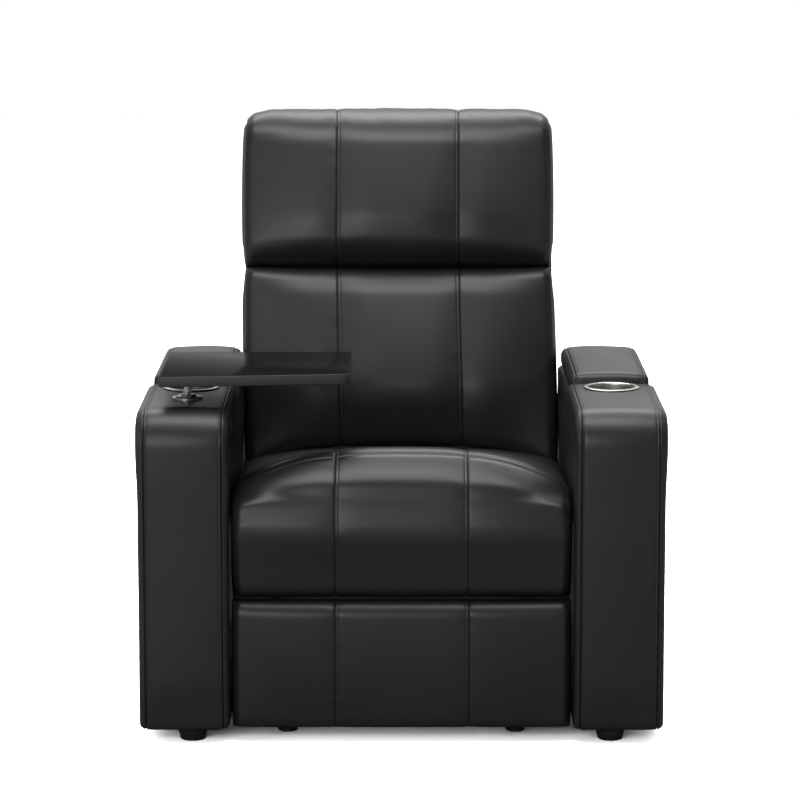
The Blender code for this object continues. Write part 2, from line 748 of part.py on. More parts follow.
def build_arm(name, side):
    """An upholstered arm with its cup hole, storage well and feet."""
    corners = [
        (FRONT_Y, ARM_BOTTOM_Z, ARM_CORNER_RADIUS, 0),
        (ARM_REAR_Y, ARM_BOTTOM_Z, ARM_CORNER_RADIUS, 0),
        (ARM_REAR_Y, RIM_Z, 0, 0),
        (BLOCK_REAR_Y, RIM_Z, 0, 0),
        (BLOCK_REAR_Y, ARM_TOP_Z, 0, 0),
        (FRONT_Y, ARM_TOP_Z, ARM_FRONT_TOP_RADIUS, 0),
    ]
    body = side_plate(f'arm_{name}', side, ARM_INNER_X, ARM_WIDTH, (0, 0, 0), [flat(rounded(corners))],
                      LEATHER)
    edge = body.modifiers.new('piped_edges', 'BEVEL')
    edge.width = ARM_EDGE_BEVEL
    edge.segments = 2
    edge.limit_method = 'ANGLE'
    edge.angle_limit = SHARP_ANGLE
    middle = side * ARM_MID_X
    half_well = ARM_WIDTH / 2 - WELL_WALL
    well = box(f'well_{name}', (middle - half_well, LID_FRONT_Y + WELL_WALL, RIM_Z - WELL_DEPTH),
               (middle + half_well, ARM_REAR_Y - WELL_REAR_WALL, RIM_Z + OVERRUN), None, CUTTERS)
    floor = ARM_TOP_Z - CUP_DEPTH - CUP_WALL - CUP_HOLE_PLAY
    hole = rod(f'cup_hole_{name}', (middle, CUP_Y, floor), (middle, CUP_Y, ARM_TOP_Z + OVERRUN),
               CUP_OUTER_RADIUS + CUP_HOLE_PLAY, None, CUTTERS, CUP_STEPS)
    cut(body, well, hole)
    return body


def build_feet(name, side):
    """The two round feet under an arm."""
    x = side * (ARM_MID_X - FOOT_INSET)
    spots = {'front': FRONT_Y + FOOT_SETBACK, 'rear': ARM_REAR_Y - FOOT_SETBACK}
    profile = [(0, FOOT_HEIGHT), (FOOT_RADIUS, FOOT_HEIGHT), (FOOT_RADIUS * FOOT_TAPER_SHARE, 0), (0, 0)]
    for end, y in spots.items():
        turned(f'arm_foot_{end}_{name}', profile, ROUND_STEPS, PLASTIC, Matrix.Translation((x, y, 0)))


def build_lid(name, side):
    """A padded lid, with its origin on the hinge's axis."""
    hinge = Vector((side * ARM_MID_X, BARREL_Y, RIM_Z))
    low = LID_BOTTOM_Z - RIM_Z
    high = low + LID_HEIGHT
    front, rear = LID_FRONT_Y - BARREL_Y, ARM_REAR_Y - BARREL_Y
    corners = [
        (front, low, LID_HEEL_RADIUS, 0),
        (rear, low, 0, 0),
        (rear, high, LID_REAR_RADIUS, 1),
        (front, high, LID_FRONT_RADIUS, 0),
    ]
    frame = Matrix.Translation(hinge)
    cushion(f'lid_{name}', corners, ARM_WIDTH - 2 * LID_INSET, LID_CROWN, 0, frame, LEATHER, 0)


def build_lid_hinge(name, side):
    """The fixed leaf and barrel of a lid's hinge, behind the arm."""
    middle = side * ARM_MID_X
    near, far = middle - BARREL_LENGTH / 2, middle + BARREL_LENGTH / 2
    leaf = box(f'lid_hinge_{name}', (near, ARM_REAR_Y + TOUCH, RIM_Z - LEAF_HEIGHT),
               (far, ARM_REAR_Y + TOUCH + LEAF_THICKNESS, RIM_Z), ZINC)
    barrel = rod(f'barrel_{name}', (near, BARREL_Y, RIM_Z), (far, BARREL_Y, RIM_Z), BARREL_RADIUS,
                 None, CUTTERS)
    join(leaf, barrel)


def build_cup(name, side):
    """A hollow cup with its rolled flange."""
    half_lip = CUP_LIP_HEIGHT / 2
    profile = [
        (0, -CUP_DEPTH), (CUP_BORE_RADIUS, -CUP_DEPTH), (CUP_BORE_RADIUS, half_lip),
        (CUP_OUTER_RADIUS, CUP_LIP_HEIGHT), (CUP_FLANGE_RADIUS - half_lip, CUP_LIP_HEIGHT),
        (CUP_FLANGE_RADIUS, half_lip), (CUP_FLANGE_RADIUS, 0), (CUP_OUTER_RADIUS, 0),
        (CUP_OUTER_RADIUS, -CUP_DEPTH - CUP_WALL), (0, -CUP_DEPTH - CUP_WALL),
    ]
    seat = Matrix.Translation((side * ARM_MID_X, CUP_Y, ARM_TOP_Z + TOUCH))
    turned(f'cup_holder_{name}', profile, CUP_STEPS, STEEL, seat)


def build_tray():
    """The swivel tray: its socket on the arm, its post and its top."""
    post_top = TRAY_BOTTOM_Z - TOUCH
    post_bottom = ARM_TOP_Z - POST_DEPTH
    flange = post_top - POST_FLANGE_HEIGHT
    post = [(0, post_top), (POST_FLANGE_RADIUS, post_top), (POST_FLANGE_RADIUS, flange),
            (POST_RADIUS, flange), (POST_RADIUS, post_bottom), (0, post_bottom)]
    axis = Matrix.Translation((POST_X, POST_Y, 0))
    turned('tray_post', post, ROUND_STEPS, STEEL, axis)
    base = ARM_TOP_Z + TOUCH
    rim = SOCKET_RADIUS - SOCKET_CHAMFER
    profile = [(0, base + SOCKET_HEIGHT), (rim, base + SOCKET_HEIGHT),
               (SOCKET_RADIUS, base + SOCKET_HEIGHT - SOCKET_CHAMFER), (SOCKET_RADIUS, base), (0, base)]
    socket = turned('tray_socket', profile, ROUND_STEPS, STEEL, axis)
    bore_start = post_bottom - PIVOT_PLAY
    bore = rod('post_bore', (POST_X, POST_Y, bore_start), (POST_X, POST_Y, base + SOCKET_HEIGHT + OVERRUN),
               POST_RADIUS + PIVOT_PLAY, None, CUTTERS)
    cut(socket, bore)
    cut(bpy.data.objects['arm_left'], bore)
    corners = [
        (-TRAY_LEFT, -TRAY_FRONT_LEFT, TRAY_CORNER_RADIUS, 0),
        (TRAY_RIGHT, -TRAY_FRONT_RIGHT, TRAY_ROUND_CORNER_RADIUS, 0),
        (TRAY_RIGHT, TRAY_REAR, TRAY_CORNER_RADIUS, 0),
        (-TRAY_LEFT, TRAY_REAR, TRAY_CORNER_RADIUS, 0),
    ]
    middle = Matrix.Translation((POST_X, POST_Y, TRAY_BOTTOM_Z + TRAY_THICKNESS / 2))
    top = plate('tray_top', [flat(rounded(corners))], TRAY_THICKNESS, middle, TRAY_FACE)
    edge = top.modifiers.new('eased_edges', 'BEVEL')
    edge.width = TRAY_EDGE_BEVEL
    edge.segments = 1
    edge.limit_method = 'ANGLE'
    edge.angle_limit = SHARP_ANGLE


def build_switch():
    """The two-button switch in the inner face of the left arm."""
    face = -ARM_INNER_X
    half_length, half_height = BEZEL_LENGTH / 2, BEZEL_HEIGHT / 2
    body_length, body_height = half_length - BEZEL_LEDGE, half_height - BEZEL_LEDGE
    bezel = box('switch_bezel', (face + TOUCH, SWITCH_Y - half_length, SWITCH_Z - half_height),
                (face + TOUCH + BEZEL_THICKNESS, SWITCH_Y + half_length, SWITCH_Z + half_height), PLASTIC)
    body = box('switch_body', (face - BEZEL_BODY_DEPTH, SWITCH_Y - body_length, SWITCH_Z - body_height),
               (face + TOUCH + BEZEL_THICKNESS / 2, SWITCH_Y + body_length, SWITCH_Z + body_height),
               None, CUTTERS)
    join(bezel, body)
    reach_y, reach_z = body_length + TOUCH, body_height + TOUCH
    pocket = box('switch_pocket', (face - BEZEL_BODY_DEPTH - TOUCH, SWITCH_Y - reach_y, SWITCH_Z - reach_z),
                 (face + OVERRUN, SWITCH_Y + reach_y, SWITCH_Z + reach_z), None, CUTTERS)
    cut(bpy.data.objects['arm_left'], pocket)
    front = face + TOUCH + BEZEL_THICKNESS + BUTTON_PROUD
    for name, step in (('open', -1), ('close', 1)):
        y = SWITCH_Y + step * BUTTON_SPACING / 2
        half_y, half_z = BUTTON_LENGTH / 2, BUTTON_HEIGHT / 2
        box(f'button_{name}', (front - BUTTON_DEPTH, y - half_y, SWITCH_Z - half_z),
            (front, y + half_y, SWITCH_Z + half_z), PLASTIC, bevel=BUTTON_BEVEL)
        back = front - BUTTON_DEPTH - BUTTON_TRAVEL - BUTTON_PLAY
        reach_y, reach_z = half_y + BUTTON_PLAY, half_z + BUTTON_PLAY
        socket = box(f'socket_{name}', (back, y - reach_y, SWITCH_Z - reach_z),
                     (front + OVERRUN, y + reach_y, SWITCH_Z + reach_z), None, CUTTERS)
        cut(bezel, socket)


# Base


def build_base():
    """Angle rails on glides, tied by two cross tubes that also carry the arms."""
    tubes = {'front': FRONT_Y + BASE_FRONT_TUBE_SETBACK, 'rear': FRONT_Y + BASE_REAR_TUBE_SETBACK}
    reach = ARM_INNER_X - TOUCH
    bores = []
    for end, y in tubes.items():
        ends = (-reach, y, BASE_TUBE_HEIGHT), (reach, y, BASE_TUBE_HEIGHT)
        rod(f'base_{end}_tube', *ends, TUBE_RADIUS, PAINTED)
        bores.append(rod(f'{end}_tube_bore', *ends, TUBE_RADIUS + PIVOT_PLAY, None, CUTTERS))
    for name, side in SIDES.items():
        outer = RAIL_HALF_WIDTH + RAIL_THICKNESS
        xs = sorted((side * RAIL_HALF_WIDTH, side * outer))
        rail = box(f'base_rail_{name}', (xs[0], RAIL_FRONT_Y, RAIL_BOTTOM_Z),
                   (xs[1], RAIL_REAR_Y, RAIL_BOTTOM_Z + RAIL_HEIGHT), PAINTED)
        xs = sorted((side * (outer - RAIL_FLANGE), side * (outer - RAIL_THICKNESS / 2)))
        flange = box(f'rail_flange_{name}', (xs[0], RAIL_FRONT_Y, RAIL_BOTTOM_Z),
                     (xs[1], RAIL_REAR_Y, RAIL_BOTTOM_Z + RAIL_THICKNESS), None, CUTTERS)
        join(rail, flange)
        for end, foot in SWING_FOOT.items():
            join(rail, rivet(f'rail_pin_{end}_{name}', side, RAIL_HALF_WIDTH + RAIL_THICKNESS / 2,
                             layer_x(SWING_LAYER) + PLATE + TOUCH + HEAD_HEIGHT, foot))
        cut(rail, *bores)
        x = side * (outer - RAIL_FLANGE / 2)
        glide = [(0, GLIDE_HEIGHT), (GLIDE_STEM_RADIUS, GLIDE_HEIGHT), (GLIDE_STEM_RADIUS, GLIDE_PAD_HEIGHT),
                 (GLIDE_RADIUS, GLIDE_PAD_HEIGHT), (GLIDE_RADIUS, 0), (0, 0)]
        ends = {'front': RAIL_FRONT_Y + GLIDE_END_SETBACK, 'rear': RAIL_REAR_Y - GLIDE_END_SETBACK}
        for end, y in ends.items():
            turned(f'glide_{end}_{name}', glide, ROUND_STEPS, PLASTIC, Matrix.Translation((x, y, 0)))


# Seat carriage


def build_swing_links(name, side):
    """The links that carry the seat on the base."""
    for end, foot in SWING_FOOT.items():
        head = SWING_HEAD[end]
        link = link_plate(f'{end}_swing_link_{name}', side, SWING_LAYER, foot,
                          [(foot, SWING_END_RADIUS), (head, SWING_END_RADIUS)], [foot])
        pins_outwards(link, side, SWING_LAYER, [head])


def carriage_outline(origin):
    """Outline of a side plate, around the pivots that it carries."""
    margin = CARRIAGE_MARGIN
    front_head, rear_head = SWING_HEAD['front'], SWING_HEAD['rear']
    corners = [
        (TORQUE_AXIS.y - margin, CARRIAGE_TOP),
        (TORQUE_AXIS.y - margin, TORQUE_AXIS.z - margin),
        (REAR_LINK_TOP.y - margin, REAR_LINK_TOP.z - margin),
        (front_head.y - margin, front_head.z - margin),
        (rear_head.y + margin, rear_head.z - margin),
        (HINGE_POINT.y + margin, HINGE_POINT.z - margin),
        (HINGE_POINT.y + margin, CARRIAGE_TOP),
    ]
    local = [(y - origin.y, z - origin.z, CARRIAGE_CORNER_RADIUS, 0) for y, z in corners]
    return flat(rounded(local))


def build_carriage(name, side):
    """A side plate of the seat, with its flange, its pins and its bored holes."""
    origin = SWING_HEAD['front']
    low, high = SWING_HEAD['front'], HINGE_POINT
    bores = [circle(*relative(head, origin), PIN_RADIUS + PIVOT_PLAY, turn=number * HOLE_TWIST)
             for number, head in enumerate(SWING_HEAD.values())]
    bores.append(circle(*relative(TORQUE_AXIS, origin), TORQUE_TUBE_RADIUS + PIVOT_PLAY, ROUND_STEPS))
    level = low.z + (CARRIAGE_TOP - low.z) * LIGHTENING_HEIGHT_SHARE
    for share in LIGHTENING_SHARES:
        y = TORQUE_AXIS.y + (high.y - TORQUE_AXIS.y) * share
        bores.append(circle(y - origin.y, level - origin.z, LIGHTENING_RADIUS, ROUND_STEPS,
                            share * HOLE_TWIST))
    body = side_plate(f'seat_plate_{name}', side, layer_x(CARRIAGE_LAYER), PLATE, origin,
                      [carriage_outline(origin), *bores], PAINTED)
    outer = layer_x(CARRIAGE_LAYER) + PLATE
    xs = sorted((side * (outer - CARRIAGE_FLANGE), side * (outer - PLATE / 2)))
    inset = CARRIAGE_CORNER_RADIUS
    front, rear = TORQUE_AXIS.y - CARRIAGE_MARGIN + inset, HINGE_POINT.y + CARRIAGE_MARGIN - inset
    flange = box(f'seat_flange_{name}', (xs[0], front, CARRIAGE_TOP - PLATE),
                 (xs[1], rear, CARRIAGE_TOP - TOUCH), None, CUTTERS)
    join(body, flange)
    pins_outwards(body, side, CARRIAGE_LAYER, [HINGE_POINT])
    start, reach = layer_x(CARRIAGE_LAYER) + PLATE / 2, layer_x(BRACKET_LAYER)
    join(body, rivet(f'rear_link_pin_{name}', side, start, reach + PLATE + TOUCH + HEAD_HEIGHT, REAR_LINK_TOP,
                     reach - TOUCH - start))


def build_seat_frame():
    """Timber rails on the side plates, the cross tube and the sinuous springs."""
    half = ARM_INNER_X - SEAT_RAIL_INSET
    spans = {'front': FRONT_Y + FRONT_RAIL_SETBACK, 'rear': FRONT_Y + REAR_RAIL_SETBACK}
    for end, y in spans.items():
        box(f'seat_{end}_rail', (-half, y, SEAT_RAIL_Z),
            (half, y + SEAT_RAIL_DEPTH, SEAT_RAIL_Z + SEAT_RAIL_HEIGHT), TIMBER, bevel=RAIL_BEVEL)
    reach = layer_x(CARRIAGE_LAYER) - TOUCH
    y = FRONT_Y + CROSS_TUBE_SETBACK
    rod('seat_cross_tube', (-reach, y, CROSS_TUBE_HEIGHT), (reach, y, CROSS_TUBE_HEIGHT), TUBE_RADIUS,
        PAINTED)
    start = spans['front'] + SEAT_RAIL_DEPTH / 2
    end = spans['rear'] + SEAT_RAIL_DEPTH / 2
    for step, name in enumerate(('left', 'middle', 'right')):
        build_spring(f'seat_spring_{name}', (step - 1) * SPRING_SPACING, start, end)


def build_spring(name, x, start, end):
    """A sinuous spring: wire that snakes from one rail to the other."""
    points = []
    turns = 4 * SPRING_LOOPS
    for k in range(turns + 1):
        share = k / turns
        sway = math.sin(math.pi * share * SPRING_LOOPS)
        swing = math.copysign(abs(sway) ** SPRING_SQUARENESS_SHARE, sway)
        points.append((swing * SPRING_HALF_WIDTH, start + (end - start) * share))
    curve = bpy.data.curves.new(name, 'CURVE')
    curve.dimensions = '3D'
    curve.bevel_depth = SPRING_WIRE_RADIUS
    curve.bevel_resolution = 0
    curve.use_fill_caps = True
    spline = curve.splines.new('POLY')
    spline.points.add(len(points) - 1)
    for point, (across, y) in zip(spline.points, points):
        point.co = (across, y, 0, 1)
    curve.materials.append(ZINC)
    item = bpy.data.objects.new(name, curve)
    PARTS.objects.link(item)
    item.location = (x, 0, SPRING_Z)


def build_seat_cushion():
    """The seat cushion with the roll that wraps over the front rail."""
    front = FRONT_Y + SEAT_FRONT_SETBACK
    rear = FRONT_Y + SEAT_REAR_SETBACK
    inner = front + ROLL_THICKNESS
    corners = [
        (rear, SEAT_DECK_Z, SEAT_EDGE_RADIUS, SEATED_SHARE),
        (rear, SEAT_REAR_HEIGHT, SEAT_REAR_RADIUS, 1),
        (front, SEAT_FRONT_HEIGHT, ROLL_TOP_RADIUS, 1),
        (front, ROLL_BOTTOM, ROLL_BOTTOM_RADIUS, 0),
        (inner, ROLL_BOTTOM, SEAT_EDGE_RADIUS, 0),
        (inner, SEAT_DECK_Z, 0, 0),
    ]
    cushion('seat_cushion', corners, SEAT_CUSHION_WIDTH, SEAT_PUFF, CHANNEL_OFFSET, Matrix(), LEATHER,
            crown=SEAT_CROWN, base=SEAT_CROWN_BASE)


# Legrest


def build_torque_tube():
    """The tube that turns both legrest linkages, with its crank and crank pin."""
    reach = layer_x(LOWER_LAYER) - TOUCH
    tube = rod('torque_tube', (-reach, *TORQUE_AXIS.yz), (reach, *TORQUE_AXIS.yz), TORQUE_TUBE_RADIUS,
               PAINTED, origin=TORQUE_AXIS)
    hub = (0, 0, CRANK_HUB_RADIUS)
    end = (*relative(CRANK_PIN, TORQUE_AXIS), CRANK_END_RADIUS)
    crank = side_plate('crank', 1, -CRANK_THICKNESS / 2, CRANK_THICKNESS, TORQUE_AXIS, [around([hub, end])],
                       None, CUTTERS)
    half_pin = CRANK_THICKNESS / 2 + YOKE_GAP + YOKE_THICKNESS + OVERRUN
    pin = rod('crank_pin', (-half_pin, *CRANK_PIN.yz), (half_pin, *CRANK_PIN.yz), CRANK_PIN_RADIUS,
              None, CUTTERS)
    join(tube, crank, pin)


def build_legrest_links(name, side):
    """The two parallelograms that carry the footrest on one side."""
    ends = [(TORQUE_AXIS, MAIN_LINK_HUB_RADIUS), (KNEE, MAIN_LINK_END_RADIUS), (TIE_REAR, LINK_END_RADIUS)]
    main = link_plate(f'main_link_{name}', side, LOWER_LAYER, TORQUE_AXIS, ends, [])
    pins_outwards(main, side, LOWER_LAYER, [KNEE, TIE_REAR])
    link_plate(f'rear_link_{name}', side, BRACKET_LAYER, REAR_LINK_TOP,
               [(REAR_LINK_TOP, LINK_END_RADIUS), (REAR_LINK_END, LINK_END_RADIUS)],
               [REAR_LINK_TOP, REAR_LINK_END])
    carrier = link_plate(f'carrier_link_{name}', side, UPPER_LAYER, KNEE,
                         [(REAR_LINK_END, LINK_END_RADIUS), (FOOTREST_PIVOT, LINK_END_RADIUS)],
                         [KNEE, FOOTREST_PIVOT])
    pins_outwards(carrier, side, UPPER_LAYER, [REAR_LINK_END])
    link_plate(f'tie_link_{name}', side, UPPER_LAYER, TIE_REAR,
               [(TIE_REAR, TIE_END_RADIUS), (TIE_FRONT, TIE_END_RADIUS)], [TIE_REAR, TIE_FRONT])


def build_footrest_bracket(name, side):
    """An angle bracket on the board, with the pins of the carrier and tie links."""
    edge = BOARD_REAR_Y + TOUCH
    foot_radius = BRACKET_FOOT_RADIUS
    low = FOOTREST_PIVOT.z - BRACKET_LENGTH / 2
    circles = [
        (*relative(FOOTREST_PIVOT, FOOTREST_PIVOT), LINK_END_RADIUS),
        (*relative(TIE_FRONT, FOOTREST_PIVOT), TIE_END_RADIUS),
        (edge + foot_radius - FOOTREST_PIVOT.y, low + foot_radius - FOOTREST_PIVOT.z, foot_radius),
        (edge + foot_radius - FOOTREST_PIVOT.y, TIE_FRONT.z - FOOTREST_PIVOT.z, foot_radius),
    ]
    start = layer_x(BRACKET_LAYER)
    ear = side_plate(f'footrest_bracket_{name}', side, start, PLATE, FOOTREST_PIVOT, [around(circles)],
                     PAINTED)
    xs = sorted((side * (start + PLATE / 2), side * (start + BRACKET_FLANGE)))
    flange = box(f'bracket_flange_{name}', (xs[0], edge, low), (xs[1], edge + PLATE, TIE_FRONT.z),
                 None, CUTTERS)
    join(ear, flange)
    for number, spot in enumerate((FOOTREST_PIVOT, TIE_FRONT)):
        end = layer_x(UPPER_LAYER) - TOUCH - HEAD_HEIGHT
        join(ear, rivet(f'bracket_pin_{number}_{name}', side, start + PLATE / 2, end, spot))


def build_footrest():
    """The footrest's board and its pad."""
    half = FOOTREST_WIDTH / 2 - FOOTREST_BOARD_INSET
    box('footrest_board', (-half, BOARD_FRONT_Y, FOOTREST_BOTTOM + FOOTREST_BOARD_INSET),
        (half, BOARD_REAR_Y, PAD_TOP_Z - FOOTREST_BOARD_INSET), TIMBER, bevel=RAIL_BEVEL,
        origin=FOOTREST_PIVOT)
    low, high = FOOTREST_BOTTOM - FOOTREST_PIVOT.z, PAD_TOP_Z - FOOTREST_PIVOT.z
    front, rear = PAD_FRONT_Y - FOOTREST_PIVOT.y, BOARD_FRONT_Y - TOUCH - FOOTREST_PIVOT.y
    corners = [
        (rear, low, 0, 0),
        (rear, high, 0, 0),
        (front, high, FOOTREST_RADIUS, 1),
        (front, low, FOOTREST_RADIUS, 0),
    ]
    frame = Matrix.Translation(FOOTREST_PIVOT)
    cushion('footrest_pad', corners, FOOTREST_WIDTH, FOOTREST_PUFF, CHANNEL_OFFSET, frame, LEATHER)


# Drive


def build_actuator():
    """Gearbox against the cross tube, the motor under it and the track in front."""
    rear = FRONT_Y + CROSS_TUBE_SETBACK - TUBE_RADIUS - TOUCH
    front = rear - GEARBOX_LENGTH
    half = GEARBOX_WIDTH / 2
    top = TRACK_TOP + GEARBOX_RISE
    gearbox = box('actuator', (-half, front, top - GEARBOX_HEIGHT), (half, rear, top), PLASTIC,
                  bevel=GEARBOX_BEVEL)
    track = box('track', (-TRACK_WIDTH / 2, FRONT_Y + TRACK_FRONT_SETBACK, TRACK_TOP - TRACK_HEIGHT),
                (TRACK_WIDTH / 2, front + GEARBOX_LENGTH / 2, TRACK_TOP), None, CUTTERS)
    level = TRACK_TOP - TRACK_HEIGHT - MOTOR_DROP
    motor = rod('motor', (0, front + GEARBOX_LENGTH / 2, level), (0, front - MOTOR_LENGTH, level),
                MOTOR_RADIUS, None, CUTTERS)
    join(gearbox, track, motor)


def build_drive_nut():
    """The slider block on the track, with two slotted cheeks around the crank pin."""
    half_x = TRACK_WIDTH / 2 + NUT_WALL
    low = TRACK_TOP - TRACK_HEIGHT - NUT_WALL
    high = TRACK_TOP + NUT_WALL
    y = CRANK_PIN.y
    nut = box('drive_nut', (-half_x, y - NUT_LENGTH / 2, low), (half_x, y + NUT_LENGTH / 2, high), PLASTIC)
    window = box('nut_window', (-TRACK_WIDTH / 2 - TOUCH, y - NUT_LENGTH, TRACK_TOP - TRACK_HEIGHT - TOUCH),
                 (TRACK_WIDTH / 2 + TOUCH, y + NUT_LENGTH, TRACK_TOP + TOUCH), None, CUTTERS)
    slot_half = CRANK_PIN_RADIUS + YOKE_SLOT_PLAY
    slot_top = CRANK_PIN.z
    slot_bottom = TORQUE_AXIS.z - CRANK_RADIUS
    cheek_half = slot_half + YOKE_WALL
    top = slot_top + slot_half + YOKE_WALL
    corners = [
        (-cheek_half, high - NUT_WALL / 2 - slot_top, 0, 0),
        (cheek_half, high - NUT_WALL / 2 - slot_top, 0, 0),
        (cheek_half, top - slot_top, YOKE_WALL, 0),
        (-cheek_half, top - slot_top, YOKE_WALL, 0),
    ]
    slot = around([(0, 0, slot_half), (0, slot_bottom - slot_top, slot_half)])
    for name, side in SIDES.items():
        join(nut, side_plate(f'cheek_{name}', side, CRANK_THICKNESS / 2 + YOKE_GAP, YOKE_THICKNESS, CRANK_PIN,
                             [flat(rounded(corners)), slot], None, CUTTERS))
    cut(nut, window)


# Back


def back_frame_matrix():
    """The back's own frame, with its origin on the recline hinge."""
    return Matrix.Translation(HINGE_POINT) @ Matrix.Rotation(-BACK_LEAN, 4, 'X')


def build_back_frame():
    """The plywood board, narrow between the brackets and wide above them."""
    narrow = layer_x(LOWER_LAYER) - TOUCH
    wide = BACK_FRAME_WIDTH / 2
    half = [
        (narrow, BACK_FRAME_BOTTOM, 0), (narrow, BACK_SHOULDER, 0), (wide, BACK_SHOULDER, BACK_FRAME_RADIUS),
        (wide, BACK_FRAME_TOP, BACK_FRAME_RADIUS),
    ]
    right = [(x, v, radius, 0) for x, v, radius in half]
    left = [(-x, v, radius, 0) for x, v, radius in reversed(half)]
    stand = Matrix.Rotation(math.pi / 2, 4, 'X')
    middle = Matrix.Translation((0, BACK_FRAME_THICKNESS / 2 - BACK_FRAME_FRONT, 0))
    plate('back_frame', [flat(rounded(right + left))], BACK_FRAME_THICKNESS,
          back_frame_matrix() @ middle @ stand, TIMBER)


def build_back_bracket(name, side):
    """The steel bracket beside the board that turns on the carriage."""
    front, rear = -BACK_FRAME_FRONT, BACK_FRAME_THICKNESS - BACK_FRAME_FRONT
    end = BACK_BRACKET_END_RADIUS
    neck = BACK_PANEL_BOTTOM - BACK_BRACKET_NECK_GAP
    corner = BACK_BRACKET_CORNER_RADIUS
    corners = [
        (front, BACK_BRACKET_TOP, corner, 0),
        (front, BACK_FRAME_BOTTOM, corner, 0),
        (-end, -end, end, 0),
        (end, -end, end, 0),
        (end, neck - end + rear, corner, 0),
        (rear, neck, 0, 0),
        (rear, BACK_BRACKET_TOP, corner, 0),
    ]
    bore = circle(0, 0, PIN_RADIUS + PIVOT_PLAY)
    middle = Matrix.Translation((side * (layer_x(LOWER_LAYER) + PLATE / 2), 0, 0))
    frame = back_frame_matrix() @ middle @ SIDE_VIEW
    plate(f'back_bracket_{name}', [flat(rounded(corners)), bore], PLATE, frame, PAINTED)


def build_back_cushions():
    """The lumbar pillow, the head pillow over the top, and the rear cover."""
    backing = -BACK_FRAME_FRONT - TOUCH
    lumbar_front = backing - LUMBAR_THICKNESS
    lumbar = [
        (backing, LUMBAR_BOTTOM, 0, 0),
        (backing, BACK_SEAM - TOUCH, 0, 0),
        (lumbar_front, BACK_SEAM - TOUCH, PILLOW_RADIUS, 1),
        (lumbar_front, LUMBAR_BOTTOM, PILLOW_RADIUS, 0),
    ]
    frame = back_frame_matrix()
    cushion('lumbar_cushion', lumbar, BACK_CUSHION_WIDTH, LUMBAR_PUFF, CHANNEL_OFFSET, frame, LEATHER)
    head_front = backing - HEAD_THICKNESS
    over = BACK_FRAME_TOP + TOUCH
    head = [
        (backing, BACK_SEAM + TOUCH, 0, 0),
        (backing, over, 0, 0),
        (HEAD_OVERHANG, over, HEAD_LIP_RADIUS, BACKED_SHARE),
        (HEAD_OVERHANG, HEAD_TOP, HEAD_HEEL_RADIUS, TOP_SHARE),
        (head_front, HEAD_TOP, HEAD_TOP_RADIUS, 1),
        (head_front, BACK_SEAM + TOUCH, PILLOW_RADIUS, 0),
    ]
    cushion('head_cushion', head, BACK_CUSHION_WIDTH, HEAD_PUFF, CHANNEL_OFFSET, frame, LEATHER)
    cover = BACK_FRAME_THICKNESS - BACK_FRAME_FRONT + TOUCH
    outer = cover + BACK_PANEL_THICKNESS
    panel = [
        (cover, BACK_PANEL_BOTTOM, 0, BACKED_SHARE),
        (outer, BACK_PANEL_BOTTOM, BACK_PANEL_RADIUS, 1),
        (outer, BACK_FRAME_TOP, 0, 0),
        (cover, BACK_FRAME_TOP, 0, 0),
    ]
    cushion('back_panel', panel, BACK_PANEL_WIDTH, BACK_PANEL_PUFF, 0, frame, COVER)


def main():
    """Builds every piece."""
    for name, side in SIDES.items():
        build_arm(name, side)
        build_feet(name, side)
        build_lid(name, side)
        build_lid_hinge(name, side)
        build_cup(name, side)
        build_swing_links(name, side)
        build_carriage(name, side)
        build_legrest_links(name, side)
        build_footrest_bracket(name, side)
        build_back_bracket(name, side)
    build_tray()
    build_switch()
    build_base()
    build_seat_frame()
    build_seat_cushion()
    build_torque_tube()
    build_footrest()
    build_actuator()
    build_drive_nut()
    build_back_frame()
    build_back_cushions()


main()
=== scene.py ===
"""Dresses the power recliner: leather, seams, steel, laminate and a plain studio.

Metres. X runs to the viewer's right, the chair faces -Y, and Z is up. Left and right are the viewer's.
"""
import json
import math

import bmesh
import bpy
import numpy as np
from bpy.props import FloatProperty, FloatVectorProperty, IntProperty, PointerProperty
from mathutils import Matrix, Vector, noise
from mathutils.bvhtree import BVHTree


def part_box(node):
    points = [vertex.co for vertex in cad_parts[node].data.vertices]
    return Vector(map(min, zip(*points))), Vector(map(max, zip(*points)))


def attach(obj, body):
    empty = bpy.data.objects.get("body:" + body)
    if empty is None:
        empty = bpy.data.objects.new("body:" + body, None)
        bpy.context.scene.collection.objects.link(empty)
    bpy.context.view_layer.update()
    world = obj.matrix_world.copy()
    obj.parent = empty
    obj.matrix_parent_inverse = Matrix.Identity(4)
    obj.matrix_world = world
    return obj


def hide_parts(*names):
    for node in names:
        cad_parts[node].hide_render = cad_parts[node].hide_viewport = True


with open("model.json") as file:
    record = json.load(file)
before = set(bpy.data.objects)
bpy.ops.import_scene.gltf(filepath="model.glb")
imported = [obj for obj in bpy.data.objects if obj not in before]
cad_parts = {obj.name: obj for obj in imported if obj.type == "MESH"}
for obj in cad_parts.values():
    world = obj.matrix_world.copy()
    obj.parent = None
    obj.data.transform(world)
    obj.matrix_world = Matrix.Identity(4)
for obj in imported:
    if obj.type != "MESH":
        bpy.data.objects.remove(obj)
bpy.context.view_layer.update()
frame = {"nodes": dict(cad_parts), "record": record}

bl_info = {
    'name': 'Power Recliner Looks',
    'version': (1, 0, 0),
    'blender': (4, 5, 0),
    'location': '3D View > Sidebar > Recliner',
    'description': 'Covers the recliner in stitched leather and adds its steel, tray and studio',
    'category': 'Object',
}

